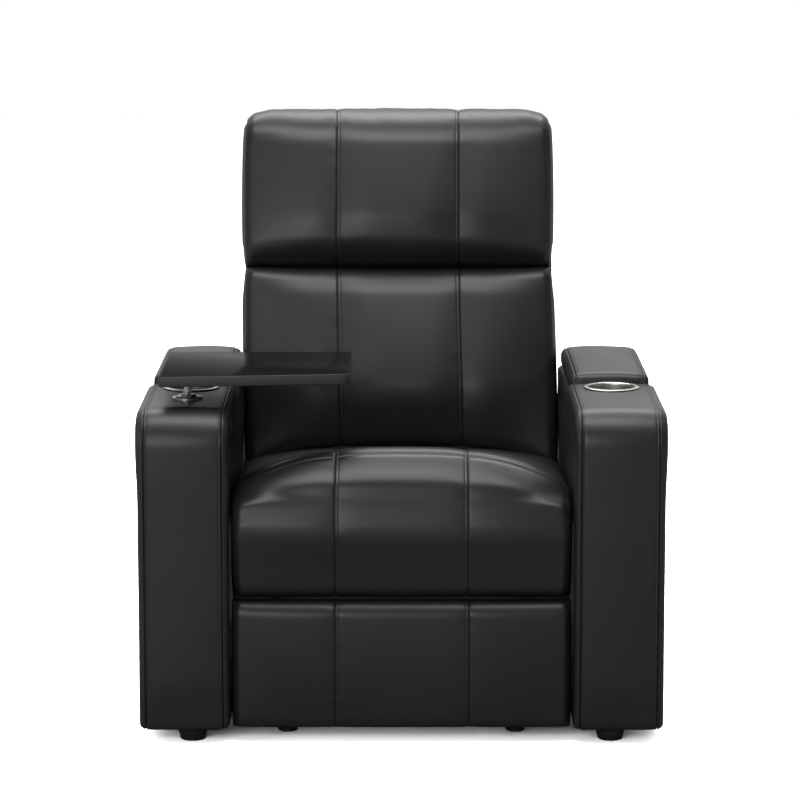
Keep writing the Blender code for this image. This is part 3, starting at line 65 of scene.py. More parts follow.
JOINTS = {joint['name']: joint for joint in frame['record']['behaviour']['joints']}
SIDES = {'left': -1, 'right': 1}
ARM_LOW, ARM_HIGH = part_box('arm_right')
LID_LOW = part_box('lid_right')[0]
CUP_LOW, CUP_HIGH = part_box('cup_holder_right')
ARM_MIDDLE = (ARM_LOW.x + ARM_HIGH.x) / 2
CUP_Y = (CUP_LOW.y + CUP_HIGH.y) / 2
CUP_STEEL = (0.64, 0.62, 0.58)
BACK_LEAN = math.radians(16)
BACK_PLACE = Matrix.Translation(Vector(JOINTS['back_lean']['pos_m'])) @ Matrix.Rotation(-BACK_LEAN, 4, 'X')
ARC_SPAN = 0.006              # longest step along a rounded corner
END_ANGLES = [math.radians(a) for a in (0, 16, 32, 48, 64, 78, 90)]    # stations around a side edge
SEAM_STEPS = (0.0008, 0.0021, 0.0070)                # stations beside a seam
CAP_SHARES = (0.05, 0.13, 0.26, 0.45, 0.68, 0.86)    # rings that close an end, towards its heart
EDGE_SEAM = 0.0105            # from the side of an arm or a lid to its edge seam
ARM_STITCHES, LID_STITCHES = 0.0048, 0.0046    # from the edge seam to its stitches
ARM_EDGE, LID_EDGE, BACK_EDGE = 0.013, 0.014, 0.020      # radius of their side edges
CUSHION_EDGE, PILLOW_EDGE, PAD_EDGE = 0.020, 0.018, 0.016
CROSS_STEPS = (-0.0070, -0.0024, -0.0010, 0.0, 0.0010, 0.0024, 0.0062, 0.0078)    # points at the cross seam
SKIN = 0.0003                 # gap between a cover and what it lies on
LEVEL = 0.0005                # points this near to a level lie on it
WELD = 1e-5                   # points closer than this are one
STITCH_SIDES = 5              # sides of a thread
SIMULATION_FRAMES = 18
FLOOR_REACH = 14.0
LIGHT_COLOUR = (0.955, 0.97, 1.0)
SOFTBOXES = {                 # place, target, size, setting of the power
    'overhead_light': ((-0.1, -0.76, 2.9), (0, -0.1, 0), (2.4, 0.9), 'key_light'),
    'rear_light': ((0, 1.5, 3.0), (0, -0.2, 0.7), (2.6, 1.0), 'rear_light'),
    'front_light': ((-1.6, -4.4, 1.8), (0, 0, 0.6), (2.6, 1.5), 'front_light'),
    'side_light': ((-3.2, -1.6, 1.6), (0, 0, 0.6), (1.6, 1.8), 'side_light'),
}
CAMERA = {'lens': 153.7, 'sensor_width': 36, 'clip_end': 60}
CAMERA_PLACE, CAMERA_TILT = (-0.0027, -6.445, 1.585), math.radians(80.9)
CLOTH = {
    'quality': 5, 'mass': 0.35, 'tension_stiffness': 30, 'compression_stiffness': 16, 'shear_stiffness': 8,
    'bending_stiffness': 6.0, 'use_pressure': True, 'pin_stiffness': 1.0,
}


class ReclinerLooks(bpy.types.PropertyGroup):
    """Sizes and colours of the covering."""

    leather_colour: FloatVectorProperty(
        name='Leather', description='Colour of the leather', subtype='COLOR', size=3, min=0, max=1,
        default=(0.0105, 0.0105, 0.0115))
    leather_gloss: FloatProperty(
        name='Leather roughness', description='Roughness of the leather', default=0.40, min=0, max=1)
    grain_size: FloatProperty(
        name='Grain size', description='Width of one pebble of the grain', default=0.0011, min=0.0002,
        unit='LENGTH')
    seam_offset_back: FloatProperty(
        name='Back seams', description='From the middle of the back to each seam', default=0.1195,
        unit='LENGTH')
    seam_offset_seat: FloatProperty(
        name='Seat seams', description='From the middle of the seat to each seam', default=0.1195,
        unit='LENGTH')
    seam_depth: FloatProperty(
        name='Seam depth', description='How deep a seam is drawn in', default=0.0038, unit='LENGTH')
    stitch_pitch: FloatProperty(
        name='Stitch pitch', description='From one stitch to the next', default=0.0052, unit='LENGTH')
    stitch_length: FloatProperty(
        name='Stitch length', description='Length of one stitch', default=0.0038, unit='LENGTH')
    stitch_offset: FloatProperty(
        name='Stitch offset', description='From the fold of a seam to its row of stitches', default=0.0062,
        unit='LENGTH')
    thread_radius: FloatProperty(
        name='Thread', description='Radius of the thread', default=0.00042, unit='LENGTH')
    cushion_pressure: FloatProperty(
        name='Filling', description='Pressure that fills the cushions', default=3.0, min=0)
    cushion_cap: FloatProperty(
        name='Swell limit', description='How far filling may move a cover', default=0.008, unit='LENGTH')
    cup_steps: IntProperty(
        name='Cup steps', description='Steps around a turned piece', default=96, min=12)
    tray_colour: FloatVectorProperty(
        name='Tray', description='Colour of the tray laminate', subtype='COLOR', size=3, min=0, max=1,
        default=(0.009, 0.009, 0.010))
    key_light: FloatProperty(
        name='Overhead light', description='Power of the overhead softbox', default=46.0, unit='POWER')
    front_light: FloatProperty(
        name='Front light', description='Power of the front softbox', default=56.0, unit='POWER')
    rear_light: FloatProperty(
        name='Rear light', description='Power of the softbox behind the chair', default=50.0, unit='POWER')
    side_light: FloatProperty(
        name='Side light', description='Power of the softbox on the left', default=10.0, unit='POWER')


def looks():
    """The settings of this scene."""
    return bpy.context.scene.recliner_looks


# Nodes


def add(tree, kind, **values):
    """Adds a shader node and sets its plain properties."""
    node = tree.nodes.new(kind)
    for name, value in values.items():
        setattr(node, name, value)
    return node


def feed(tree, socket, source):
    """Links a socket from a node's output, or sets it to a plain value."""
    if isinstance(source, bpy.types.NodeSocket):
        tree.links.new(source, socket)
    else:
        socket.default_value = source


def placed(tree, kind, sources, **values):
    """Adds a shader node and feeds its sockets, given by name or number."""
    node = add(tree, kind, **values)
    for socket, source in sources.items():
        feed(tree, node.inputs[socket], source)
    return node


def calculate(tree, operation, first, second=0.0, third=None):
    """A Math node's result."""
    sources = {0: first, 1: second} if third is None else {0: first, 1: second, 2: third}
    return placed(tree, 'ShaderNodeMath', sources, operation=operation).outputs[0]


def swayed(tree, value, amount, base):
    """A base that rises and falls with a value around one half."""
    return calculate(tree, 'MULTIPLY_ADD', calculate(tree, 'SUBTRACT', value, 0.5), amount, base)


def remap(tree, *parts):
    """Carries a value from one range to another, smoothly and clamped."""
    node = placed(tree, 'ShaderNodeMapRange', dict(enumerate(parts)), interpolation_type='SMOOTHSTEP')
    return node.outputs[0]


def mix_colours(tree, factor, first, second, blend='MIX'):
    """A colour Mix node's result."""
    sources = {0: factor, 6: first, 7: second}
    return placed(tree, 'ShaderNodeMix', sources, data_type='RGBA', blend_type=blend).outputs[2]


def noise_at(tree, where, scale, detail=2.0, roughness=0.5, distortion=0.0):
    """A Noise texture's factor."""
    sources = {'Scale': scale, 'Detail': detail, 'Roughness': roughness, 'Distortion': distortion}
    return placed(tree, 'ShaderNodeTexNoise', {'Vector': where, **sources}).outputs['Fac']


def split(tree, vector):
    """The X, Y and Z of a vector."""
    return placed(tree, 'ShaderNodeSeparateXYZ', {0: vector}).outputs


def grey(tree, value):
    """A grey as light as a value."""
    return placed(tree, 'ShaderNodeCombineColor', {0: value, 1: value, 2: value}).outputs[0]


def piece_coordinates(tree):
    """Where a point lies on its piece, in metres."""
    return add(tree, 'ShaderNodeTexCoord').outputs['Object']


def new_group(name, colour, roughness, more):
    """A shader node group that puts out a skin's colour, roughness and height."""
    tree = bpy.data.node_groups.new(name, 'ShaderNodeTree')
    for label, kind, value in [('Colour', 'Color', (*colour, 1)), ('Roughness', 'Float', roughness)] + more:
        socket = tree.interface.new_socket(name=label, in_out='INPUT', socket_type='NodeSocket' + kind)
        socket.default_value = value
    for label, kind in (('Colour', 'Color'), ('Roughness', 'Float'), ('Height', 'Float')):
        tree.interface.new_socket(name=label, in_out='OUTPUT', socket_type='NodeSocket' + kind)
    return tree, tree.nodes.new('NodeGroupInput').outputs


def put_out(tree, colour, roughness, height):
    """Ends a group with what it puts out."""
    placed(tree, 'NodeGroupOutput', {'Colour': colour, 'Roughness': roughness, 'Height': height})
    return tree


def grain_group():
    """Leather grain: pebbles, soft creases and cloudy gloss."""
    tree, given = new_group('Leather grain', (0.01, 0.01, 0.01), 0.4, [
        ('Pebble Scale', 'Float', 900.0), ('Crease Scale', 'Float', 60.0), ('Cloud Scale', 'Float', 7.0)])
    where = piece_coordinates(tree)
    cells = placed(tree, 'ShaderNodeTexVoronoi',
                   {'Vector': where, 'Scale': given['Pebble Scale'], 'Smoothness': 0.6}, feature='SMOOTH_F1')
    pebble = calculate(tree, 'SUBTRACT', 1.0, cells.outputs['Distance'])
    pores = noise_at(tree, where, given['Pebble Scale'], 3.0, 0.6)
    crease = noise_at(tree, where, given['Crease Scale'], 5.0, 0.62, 0.4)
    cloud = noise_at(tree, where, given['Cloud Scale'], 3.0, 0.5)
    height = calculate(tree, 'MULTIPLY_ADD', pebble, 0.55, calculate(tree, 'MULTIPLY', pores, 0.3))
    height = calculate(tree, 'MULTIPLY_ADD', crease, 1.4, height)
    tone = grey(tree, remap(tree, cloud, 0.3, 0.7, 0.86, 1.16))
    matt = swayed(tree, crease, 0.08, swayed(tree, cloud, 0.10, given['Roughness']))
    return put_out(tree, mix_colours(tree, 1.0, given['Colour'], tone, 'MULTIPLY'), matt, height)


def brushed_group():
    """Steel brushed around an upright axis, with faint smudges."""
    tree, given = new_group('Brushed steel', (0.6, 0.6, 0.6), 0.3, [
        ('Axis', 'Vector', (0, 0, 0)), ('Line Scale', 'Float', 2600.0)])
    where = piece_coordinates(tree)
    away = placed(tree, 'ShaderNodeVectorMath', {0: where, 1: given['Axis']}, operation='SUBTRACT')
    x, y, z = split(tree, away.outputs[0])
    radius = calculate(tree, 'SQRT', calculate(tree, 'MULTIPLY_ADD', x, x, calculate(tree, 'MULTIPLY', y, y)))
    ring = placed(tree, 'ShaderNodeCombineXYZ', {0: radius, 2: z})
    lines = noise_at(tree, ring.outputs[0], given['Line Scale'], 2.0, 0.6)
    smudge = noise_at(tree, where, 38.0, 4.0, 0.55)
    smudged = remap(tree, smudge, 0.35, 0.75, 0.0, 0.16)
    tone = mix_colours(tree, smudged, given['Colour'], (0.30, 0.28, 0.25, 1))
    matt = calculate(tree, 'MULTIPLY_ADD', smudge, 0.06, swayed(tree, lines, 0.22, given['Roughness']))
    return put_out(tree, tone, matt, lines)


def moulded_group():
    """A fine moulded or painted skin with dust and handling marks."""
    tree, given = new_group('Moulded skin', (0.02, 0.02, 0.02), 0.45, [
        ('Skin Scale', 'Float', 700.0), ('Dust', 'Float', 0.12)])
    where = piece_coordinates(tree)
    skin = noise_at(tree, where, given['Skin Scale'], 3.0, 0.55)
    marks = noise_at(tree, where, 24.0, 5.0, 0.6, 0.3)
    veil = calculate(tree, 'MULTIPLY', remap(tree, marks, 0.42, 0.80, 0.0, 1.0), given['Dust'])
    tone = mix_colours(tree, veil, given['Colour'], (0.20, 0.19, 0.18, 1))
    return put_out(tree, tone, calculate(tree, 'MULTIPLY_ADD', marks, 0.14, given['Roughness']), skin)


def plain_shader(name, colour, roughness, metallic=0.0):
    """A material with its Principled shader, ready for an effect."""
    material = bpy.data.materials.new(name)
    material.use_nodes = True
    material.diffuse_color = (*colour, 1)
    shader = material.node_tree.nodes['Principled BSDF']
    for label, value in (('Base Color', (*colour, 1)), ('Roughness', roughness), ('Metallic', metallic)):
        shader.inputs[label].default_value = value
    return material, material.node_tree, shader


def surfaced(tree, shader, colour, roughness, height, distance, strength=1.0):
    """Feeds a material's colour, roughness and relief."""
    relief = placed(tree, 'ShaderNodeBump', {'Distance': distance, 'Strength': strength, 'Height': height})
    feed(tree, shader.inputs['Base Color'], colour)
    feed(tree, shader.inputs['Roughness'], roughness)
    feed(tree, shader.inputs['Normal'], relief.outputs['Normal'])


def grouped(name, group, colour, roughness, metallic=0.0, bump=0.0002, strength=0.3, **values):
    """A material whose colour, gloss and relief come from a group."""
    material, tree, shader = plain_shader(name, colour, roughness, metallic)
    sources = {label.replace('_', ' ').title(): value for label, value in values.items()}
    sources.update({'Colour': (*colour, 1), 'Roughness': roughness})
    effect = placed(tree, 'ShaderNodeGroup', sources, node_tree=group).outputs
    surfaced(tree, shader, effect['Colour'], effect['Roughness'], effect['Height'], bump, strength)
    return material


def make_plywood():
    """Birch plywood: long grain on its faces and thin plies on its edges."""
    material, tree, shader = plain_shader('Plywood', (0.50, 0.36, 0.21), 0.62)
    where = piece_coordinates(tree)
    stretch = placed(tree, 'ShaderNodeMapping', {'Vector': where, 'Scale': (3, 60, 60)})
    figure = noise_at(tree, stretch.outputs[0], 6.0, 6.0, 0.6, 0.5)
    plies = placed(tree, 'ShaderNodeTexWave', {'Vector': where, 'Scale': 110.0, 'Distortion': 0.4},
                   wave_type='BANDS', bands_direction='Y')
    tone = mix_colours(tree, figure, (0.42, 0.29, 0.16, 1), (0.62, 0.47, 0.29, 1))
    dark = calculate(tree, 'MULTIPLY', plies.outputs['Fac'], 0.25)
    tone = mix_colours(tree, dark, tone, (0.33, 0.21, 0.11, 1))
    surfaced(tree, shader, tone, remap(tree, figure, 0.2, 0.8, 0.55, 0.72), figure, 0.0002)
    return material


def make_woven_edge():
    """The tray's edge band: a fine twill that shows under a clear skin."""
    material, tree, shader = plain_shader('Woven edge band', (0.03, 0.03, 0.032), 0.34)
    x, y, z = split(tree, piece_coordinates(tree))
    along = calculate(tree, 'ADD', x, y)
    twill = []
    for sign in (1.0, -1.0):
        slant = calculate(tree, 'MULTIPLY_ADD', z, sign, along)
        twill.append(calculate(tree, 'SINE', calculate(tree, 'MULTIPLY', slant, 2 * math.pi / 0.0060)))
    over = calculate(tree, 'MULTIPLY', *twill)
    mask = remap(tree, over, -0.5, 0.5, 0.0, 1.0)
    tone = mix_colours(tree, mask, (0.004, 0.004, 0.0045, 1), (0.050, 0.050, 0.053, 1))
    surfaced(tree, shader, tone, remap(tree, over, -1.0, 1.0, 0.50, 0.62), mask, 0.0002, 0.4)
    return material


MATERIALS = {}


def make_materials():
    """Builds each group once and every material from them."""
    chosen = looks()
    grain, brushed, moulded = grain_group(), brushed_group(), moulded_group()
    pebbles = 1 / chosen.grain_size
    leather = tuple(chosen.leather_colour)
    MATERIALS.update(
        leather=grouped('Black leather', grain, leather, chosen.leather_gloss, bump=0.00012, strength=0.35,
                        pebble_scale=pebbles, crease_scale=55.0),
        cover=grouped('Black back cover', grain, tuple(c * 1.15 for c in leather),
                      chosen.leather_gloss + 0.08, bump=0.00014, strength=0.4, pebble_scale=pebbles,
                      crease_scale=40.0),
        thread=grouped('Black thread', moulded, (0.016, 0.016, 0.017), 0.55, bump=0.0001, skin_scale=4200.0,
                       dust=0.05),
        steel=grouped('Brushed cup steel', brushed, CUP_STEEL, 0.24, 1.0, bump=0.00002,
                      axis=(ARM_MIDDLE, CUP_Y, 0)),
        steel_left=grouped('Brushed cup steel left', brushed, CUP_STEEL, 0.24, 1.0, bump=0.00002,
                           axis=(-ARM_MIDDLE, CUP_Y, 0)),
        post=grouped('Brushed post steel', brushed, (0.56, 0.55, 0.53), 0.27, 1.0, bump=0.00002,
                     axis=tuple(JOINTS['tray_swivel']['pos_m'][:2]) + (0,)),
        painted=grouped('Black painted steel', moulded, (0.022, 0.022, 0.024), 0.36, 0.0, bump=0.00006,
                        skin_scale=420.0, dust=0.10),
        zinc=grouped('Zinc-plated steel', moulded, (0.46, 0.46, 0.45), 0.30, 1.0, bump=0.00005,
                     skin_scale=900.0, dust=0.25),
        plastic=grouped('Black moulded plastic', moulded, (0.017, 0.017, 0.018), 0.42, 0.0, bump=0.00008,
                        skin_scale=1500.0, dust=0.06),
        laminate=grouped('Black tray laminate', moulded, tuple(chosen.tray_colour), 0.07, 0.0, bump=0.00002,
                         skin_scale=900.0, dust=0.01),
        edge_band=make_woven_edge(),
        plywood=make_plywood(),
    )
    top = MATERIALS['laminate'].node_tree.nodes['Principled BSDF']
    top.inputs['IOR'].default_value = 1.035


# Meshes


def show(name, mesh, *materials):
    """An object in the scene with its materials, shaded smooth."""
    piece = bpy.data.objects.new(name, mesh)
    bpy.context.scene.collection.objects.link(piece)
    mesh.materials.clear()
    for material in materials:
        mesh.materials.append(MATERIALS[material])
    mesh.shade_smooth()
    return piece


def keep_edges(piece, angle):
    """Keeps the edges sharp that turn by more than an angle in degrees."""
    piece.data.set_sharp_from_angle(angle=math.radians(angle))


def apply_modifiers(piece):
    """Leaves the piece with the mesh that its modifiers make."""
    mesh = bpy.data.meshes.new_from_object(piece.evaluated_get(bpy.context.evaluated_depsgraph_get()))
    old = piece.data
    piece.modifiers.clear()
    piece.data = mesh
    mesh.name = old.name
    bpy.data.meshes.remove(old)


def subdivide(piece):
    """Smooths a piece by subdivision and keeps the result. Its first points keep their numbers."""
    step = piece.modifiers.new('smoother', 'SUBSURF')
    step.levels = step.render_levels = 1
    apply_modifiers(piece)
    piece.data.shade_smooth()


def opened(mesh, flat_angle=None):
    """A mesh opened for editing. With an angle, split points are joined and flat faces merged."""
    work = bmesh.new()
    work.from_mesh(mesh)
    if flat_angle:
        bmesh.ops.remove_doubles(work, verts=work.verts, dist=WELD)
        limit = math.radians(flat_angle)
        bmesh.ops.dissolve_limit(work, angle_limit=limit, verts=work.verts, edges=work.edges)
    return work


def closed(work, mesh):
    """Writes an edited mesh back."""
    work.to_mesh(mesh)
    work.free()


def face_outwards(mesh):
    """Turns all faces of a mesh outwards."""
    work = opened(mesh)
    bmesh.ops.recalc_face_normals(work, faces=work.faces)
    closed(work, mesh)


def ease_edges(mesh, offset, profile, chosen):
    """Rounds the edges of a copied solid that chosen picks."""
    work = opened(mesh, 2)
    edges = [edge for edge in work.edges if len(edge.link_faces) == 2 and chosen(edge)]
    bmesh.ops.bevel(work, geom=edges, offset=offset, segments=3, profile=profile, affect='EDGES')
    closed(work, mesh)


def points_of(node):
    """All points of a node."""
    return np.array([v.co for v in frame['nodes'][node].data.vertices])


def back_reach(node):
    """Lowest and highest corner of a node in the leaning frame of the back."""
    away = BACK_PLACE.inverted()
    spots = np.array([away @ v.co for v in frame['nodes'][node].data.vertices])
    return Vector(spots.min(0)), Vector(spots.max(0))


def measured(node):
    """Lowest corner, highest corner, centre in plan and half the width of a node."""
    low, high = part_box(node)
    return low, high, ((low.x + high.x) / 2, (low.y + high.y) / 2), (high.x - low.x) / 2


def reach_of(spots, centre):
    """The farthest that some points stand from an upright axis."""
    return float(np.hypot(spots[:, 0] - centre[0], spots[:, 1] - centre[1]).max())


def reach_at(node, centre):
    """Radius of the lowest ring of a node about an upright axis."""
    spots = points_of(node)
    return reach_of(spots[spots[:, 2] < spots[:, 2].min() + LEVEL], centre)


def wave(x, y, z, size, seed=0.0):
    """Smooth seeded noise between -1 and 1."""
    return noise.noise(Vector((x / size + seed, y / size + seed * 0.7, z / size - seed)))


def clamp(value):
    """A value held between 0 and 1."""
    return max(0.0, min(1.0, value))


def ease(value, low, high):
    """Smooth step from 0 at low to 1 at high."""
    t = clamp((value - low) / (high - low))
    return t * t * (3 - 2 * t)


def bell(distance, width):
    """1 at no distance, and less on both sides."""
    return math.exp(-(distance / width) ** 2)


def edge_inset(x, half, radius):
    """How far a rounded edge lies inside a form's side view at x."""
    near = min(radius, max(0.0, abs(x) - (half - radius)))
    return radius - math.sqrt(radius ** 2 - near ** 2)


def arc(across, up, reach, rise, first, last, steps, skip=0):
    """Points of an ellipse about a centre, from one angle in degrees to another."""
    angles = [math.radians(first + (last - first) * k / steps) for k in range(skip, steps + 1)]
    return [(across + reach * math.cos(a), up + rise * math.sin(a)) for a in angles]


def rounded(corners, span):
    """Rounds a polygon's corners, each (across, up, radius, freedom of the edge after it)."""
    count = len(corners)
    bends = []
    for i, (across, up, radius, freedom) in enumerate(corners):
        here = Vector((across, up))
        back = Vector(corners[i - 1][:2]) - here
        on = Vector(corners[(i + 1) % count][:2]) - here
        before = corners[i - 1][3]
        angle = math.pi - back.angle(on)
        if radius == 0 or angle == 0:
            bends.append([(here.x, here.y, min(before, freedom))])
            continue
        reach = min(radius * math.tan(angle / 2), back.length / 2, on.length / 2)
        true_radius = reach / math.tan(angle / 2)
        start, end = here + back.normalized() * reach, here + on.normalized() * reach
        centre = here + (back.normalized() + on.normalized()).normalized() * math.hypot(reach, true_radius)
        steps = max(3, round(angle * true_radius / ARC_SPAN))
        first, last = (start - centre).normalized(), (end - centre).normalized()
        bend = []
        for k in range(steps + 1):
            ray = first.slerp(last, k / steps) * true_radius
            bend.append((centre.x + ray.x, centre.y + ray.y, before + (freedom - before) * k / steps))
        bends.append(bend)
    points = []
    for i, bend in enumerate(bends):
        points.extend(bend)
        first, last = Vector(bend[-1][:2]), Vector(bends[(i + 1) % count][0][:2])
        pieces = max(1, round((last - first).length / span))
        for k in range(1, pieces):
            spot = first.lerp(last, k / pieces)
            points.append((spot.x, spot.y, corners[i][3]))
    return points


def refined(outline, across, floor):
    """Adds close points to an outline where it crosses a seam above a floor level."""
    result = []
    for here, there in zip(outline, outline[1:] + outline[:1]):
        result.append(here)
        lowest, highest = sorted((here[0], there[0]))
        if min(here[1], there[1]) < floor:
            continue
        places = [across + step for step in CROSS_STEPS if lowest < across + step < highest]
        places.sort(reverse=here[0] > there[0])
        for place in places:
            share = (place - here[0]) / (there[0] - here[0])
            result.append(tuple(a + (b - a) * share for a, b in zip(here, there)))
    kept = []
    for spot in result:
        if not kept or math.hypot(spot[0] - kept[-1][0], spot[1] - kept[-1][1]) > 0.0006:
            kept.append(spot)
    return kept


def nearest_on(path, spot):
    """The point of a polyline nearest to a spot."""
    spots = []
    for a, b in zip(path, path[1:]):
        a, along = Vector(a), Vector(b) - Vector(a)
        spots.append(a + along * clamp((spot - a).dot(along) / along.length_squared))
    return min(spots, key=lambda near: (near - spot).length)


def tube_faces(rings, count, first=0):
    """Faces between rings of points, all of one count."""
    return [(first + k * count + i, first + k * count + (i + 1) % count,
             first + (k + 1) * count + (i + 1) % count, first + (k + 1) * count + i)
            for k in range(rings - 1) for i in range(count)]


class Loft:
    """A closed form lofted through side outlines along X, with both ends capped.

    stations are places along X. shape(x, across, up, freedom, normal) gives a point's own place.
    heart is the line in the side view that the end panels close towards.
    """

    def __init__(self, outline, stations, shape, heart, dome=0.004, place=None):
        if sum(a[0] * b[1] - b[0] * a[1] for a, b in zip(outline, outline[1:] + outline[:1])) < 0:
            outline = list(reversed(outline))
        self.outline, self.stations = outline, stations
        self.count = len(outline)
        self.place = place or Matrix()
        self.normals = []
        for i in range(self.count):
            along = Vector(outline[(i + 1) % self.count][:2]) - Vector(outline[i - 1][:2])
            self.normals.append(Vector((along.y, -along.x)).normalized())
        side = list(zip(outline, self.normals))
        rings = [[Vector(shape(x, *spot, normal)) for spot, normal in side] for x in stations]
        self.first = len(CAP_SHARES)
        for out, ring in ((-1, rings[0]), (1, rings[-1])):
            for share in CAP_SHARES:
                cap = []
                for spot in ring:
                    flat = Vector((spot.y, spot.z))
                    flat = flat.lerp(nearest_on(heart, flat), share)
                    cap.append(Vector((spot.x + out * dome * (1 - (1 - share) ** 2), flat.x, flat.y)))
                rings.insert(len(rings) if out > 0 else 0, cap)
        self.points = [spot for ring in rings for spot in ring]
        self.faces = tube_faces(len(rings), self.count)
        last = len(self.points) - self.count
        self.ends = [list(reversed(range(self.count))), list(range(last, last + self.count))]

    def ring(self, station):
        """Numbers of the points at a station."""
        start = (self.first + station) * self.count
        return [start + i for i in range(self.count)]

    def row(self, piece, x, keep):
        """Places and outward directions where keep(across, up, freedom) holds, on the ring nearest to x."""
        ring = self.ring(min(range(len(self.stations)), key=lambda k: abs(self.stations[k] - x)))
        shown = [number for number, spot in zip(ring, self.outline) if keep(*spot)]
        breaks = [k for k in range(1, len(shown)) if shown[k] != shown[k - 1] + 1]
        if breaks:
            shown = shown[breaks[0]:] + shown[:breaks[0]]
        return run_of(piece, shown)

    def build(self, name, *materials):
        """The mesh object, moved to its place."""
        work = bmesh.new()
        spots = [work.verts.new(self.place @ spot) for spot in self.points]
        work.verts.index_update()
        for face in self.faces:
            work.faces.new([spots[i] for i in face])
        ends = [work.faces.new([spots[i] for i in end]) for end in self.ends]
        bmesh.ops.triangulate(work, faces=ends, ngon_method='BEAUTY')
        bmesh.ops.recalc_face_normals(work, faces=work.faces)
        mesh = bpy.data.meshes.new(name)
        closed(work, mesh)
        return show(name, mesh, *materials)


def spread(low, high, span):
    """Even places from low up to high, without high."""
    count = max(1, round((high - low) / span))
    return [low + (high - low) * k / count for k in range(count)]


def width_stations(half, end_radius, seams, stitch, span):
    """Places across a cushion: rounded ends, panels, and close rings at each seam."""
    inner = half - end_radius
    places = [inner + end_radius * math.sin(a) for a in END_ANGLES]
    places += [-x for x in places]
    stops = [-inner] + sorted(seams) + [inner]
    for low, high in zip(stops, stops[1:]):
        places += spread(low, high, span)
    for seam in seams:
        inward = -math.copysign(1, seam)
        near = [seam] + [seam + side * step for step in SEAM_STEPS for side in (-1, 1)]
        near += [seam + inward * stitch, seam + inward * (stitch + 0.0016), seam + inward * (stitch - 0.0016)]
        places = [x for x in places if min(abs(x - n) for n in near) > 0.004] + near
    result = []
    for x in sorted(places):
        if not result or x - result[-1] > 0.0004:
            result.append(x)
    return result


def groove(x, seams, stitch, depth):
    """How far a seam and its row of stitches draw the cover in at x."""
    drawn = 0.0
    for seam in seams:
        fold = x - seam
        row = fold + math.copysign(stitch, seam)
        drawn = max(drawn, bell(fold, 0.0010), 0.42 * bell(row, 0.0012), 0.30 * bell(fold, 0.010))
    return depth * drawn


def from_seam(x, seams):
    """Distance from x to the nearest seam."""
    return min([abs(x - seam) for seam in seams] or [1.0])


def inflate(piece, weights):
    """Fills a cover with Blender's Cloth, held by its weights, and keeps the result."""
    scene = bpy.context.scene
    held = piece.vertex_groups.new(name='held')
    for number, weight in enumerate(weights):
        if weight > 0:
            held.add([number], weight, 'REPLACE')
    start = np.array([v.co for v in piece.data.vertices])
    cloth = piece.modifiers.new('filling', 'CLOTH')
    for setting, value in CLOTH.items():
        setattr(cloth.settings, setting, value)
    cloth.settings.uniform_pressure_force = looks().cushion_pressure
    cloth.settings.vertex_group_mass = 'held'
    cloth.settings.effector_weights.gravity = 0
    cloth.point_cache.frame_start = 1
    cloth.point_cache.frame_end = SIMULATION_FRAMES
    for number in range(1, SIMULATION_FRAMES + 1):
        scene.frame_set(number)
    after = piece.evaluated_get(bpy.context.evaluated_depsgraph_get())
    move = np.array([v.co for v in after.data.vertices]) - start
    size = np.linalg.norm(move, axis=1, keepdims=True)
    limit = looks().cushion_cap
    move *= np.where(size > 1e-9, limit * np.tanh(size / limit) / np.maximum(size, 1e-9), 1.0)
    piece.modifiers.clear()
    piece.vertex_groups.clear()
    scene.frame_set(1)
    piece.data.vertices.foreach_set('co', (start + move).ravel())
    piece.data.update()


def run_of(piece, numbers):
    """Places and outward directions along a row of a piece's points."""
    mesh = piece.data
    return [(mesh.vertices[i].co.copy(), mesh.vertex_normals[i].vector.copy()) for i in numbers]


def stitch_rows(name, rows, body):
    """Rows of stitches, each a small bowed thread that sinks in at both ends, as one piece."""
    chosen = looks()
    radius, length = chosen.thread_radius, chosen.stitch_length
    points, faces = [], []
    levels = ((0, 0.45, -0.7), (0.2, 0.9, 0.25), (0.5, 1.0, 0.6), (0.8, 0.9, 0.25), (1, 0.45, -0.7))
    for row in rows:
        steps = [0.0]
        for (a, _), (b, _) in zip(row, row[1:]):
            steps.append(steps[-1] + (b - a).length)
        at = chosen.stitch_pitch / 2
        k = 0
        while at + length < steps[-1]:
            ends = []
            for place in (at, at + length):
                while steps[k + 1] < place:
                    k += 1
                share = (place - steps[k]) / max(steps[k + 1] - steps[k], 1e-9)
                ends.append([a.lerp(b, share) for a, b in zip(row[k], row[k + 1])])
            (start, up), (stop, _) = ends
            along = (stop - start).normalized()
            across = along.cross(up).normalized()
            up = across.cross(along)
            faces += tube_faces(len(levels), STITCH_SIDES, len(points))
            turns = range(STITCH_SIDES)
            faces.append(tuple(len(points) + turn for turn in reversed(turns)))
            for share, size, lift in levels:
                middle = start.lerp(stop, share) + up * radius * lift
                for turn in turns:
                    angle = 2 * math.pi * turn / STITCH_SIDES
                    points.append(middle + (across * math.cos(angle) + up * math.sin(angle)) * radius * size)
            faces.append(tuple(len(points) - STITCH_SIDES + turn for turn in turns))
            at += chosen.stitch_pitch
            k = max(0, k - 1)
    mesh = bpy.data.meshes.new(name)
    mesh.from_pydata([tuple(p) for p in points], [], faces)
    piece = show(name, mesh, 'thread')
    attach(piece, body)


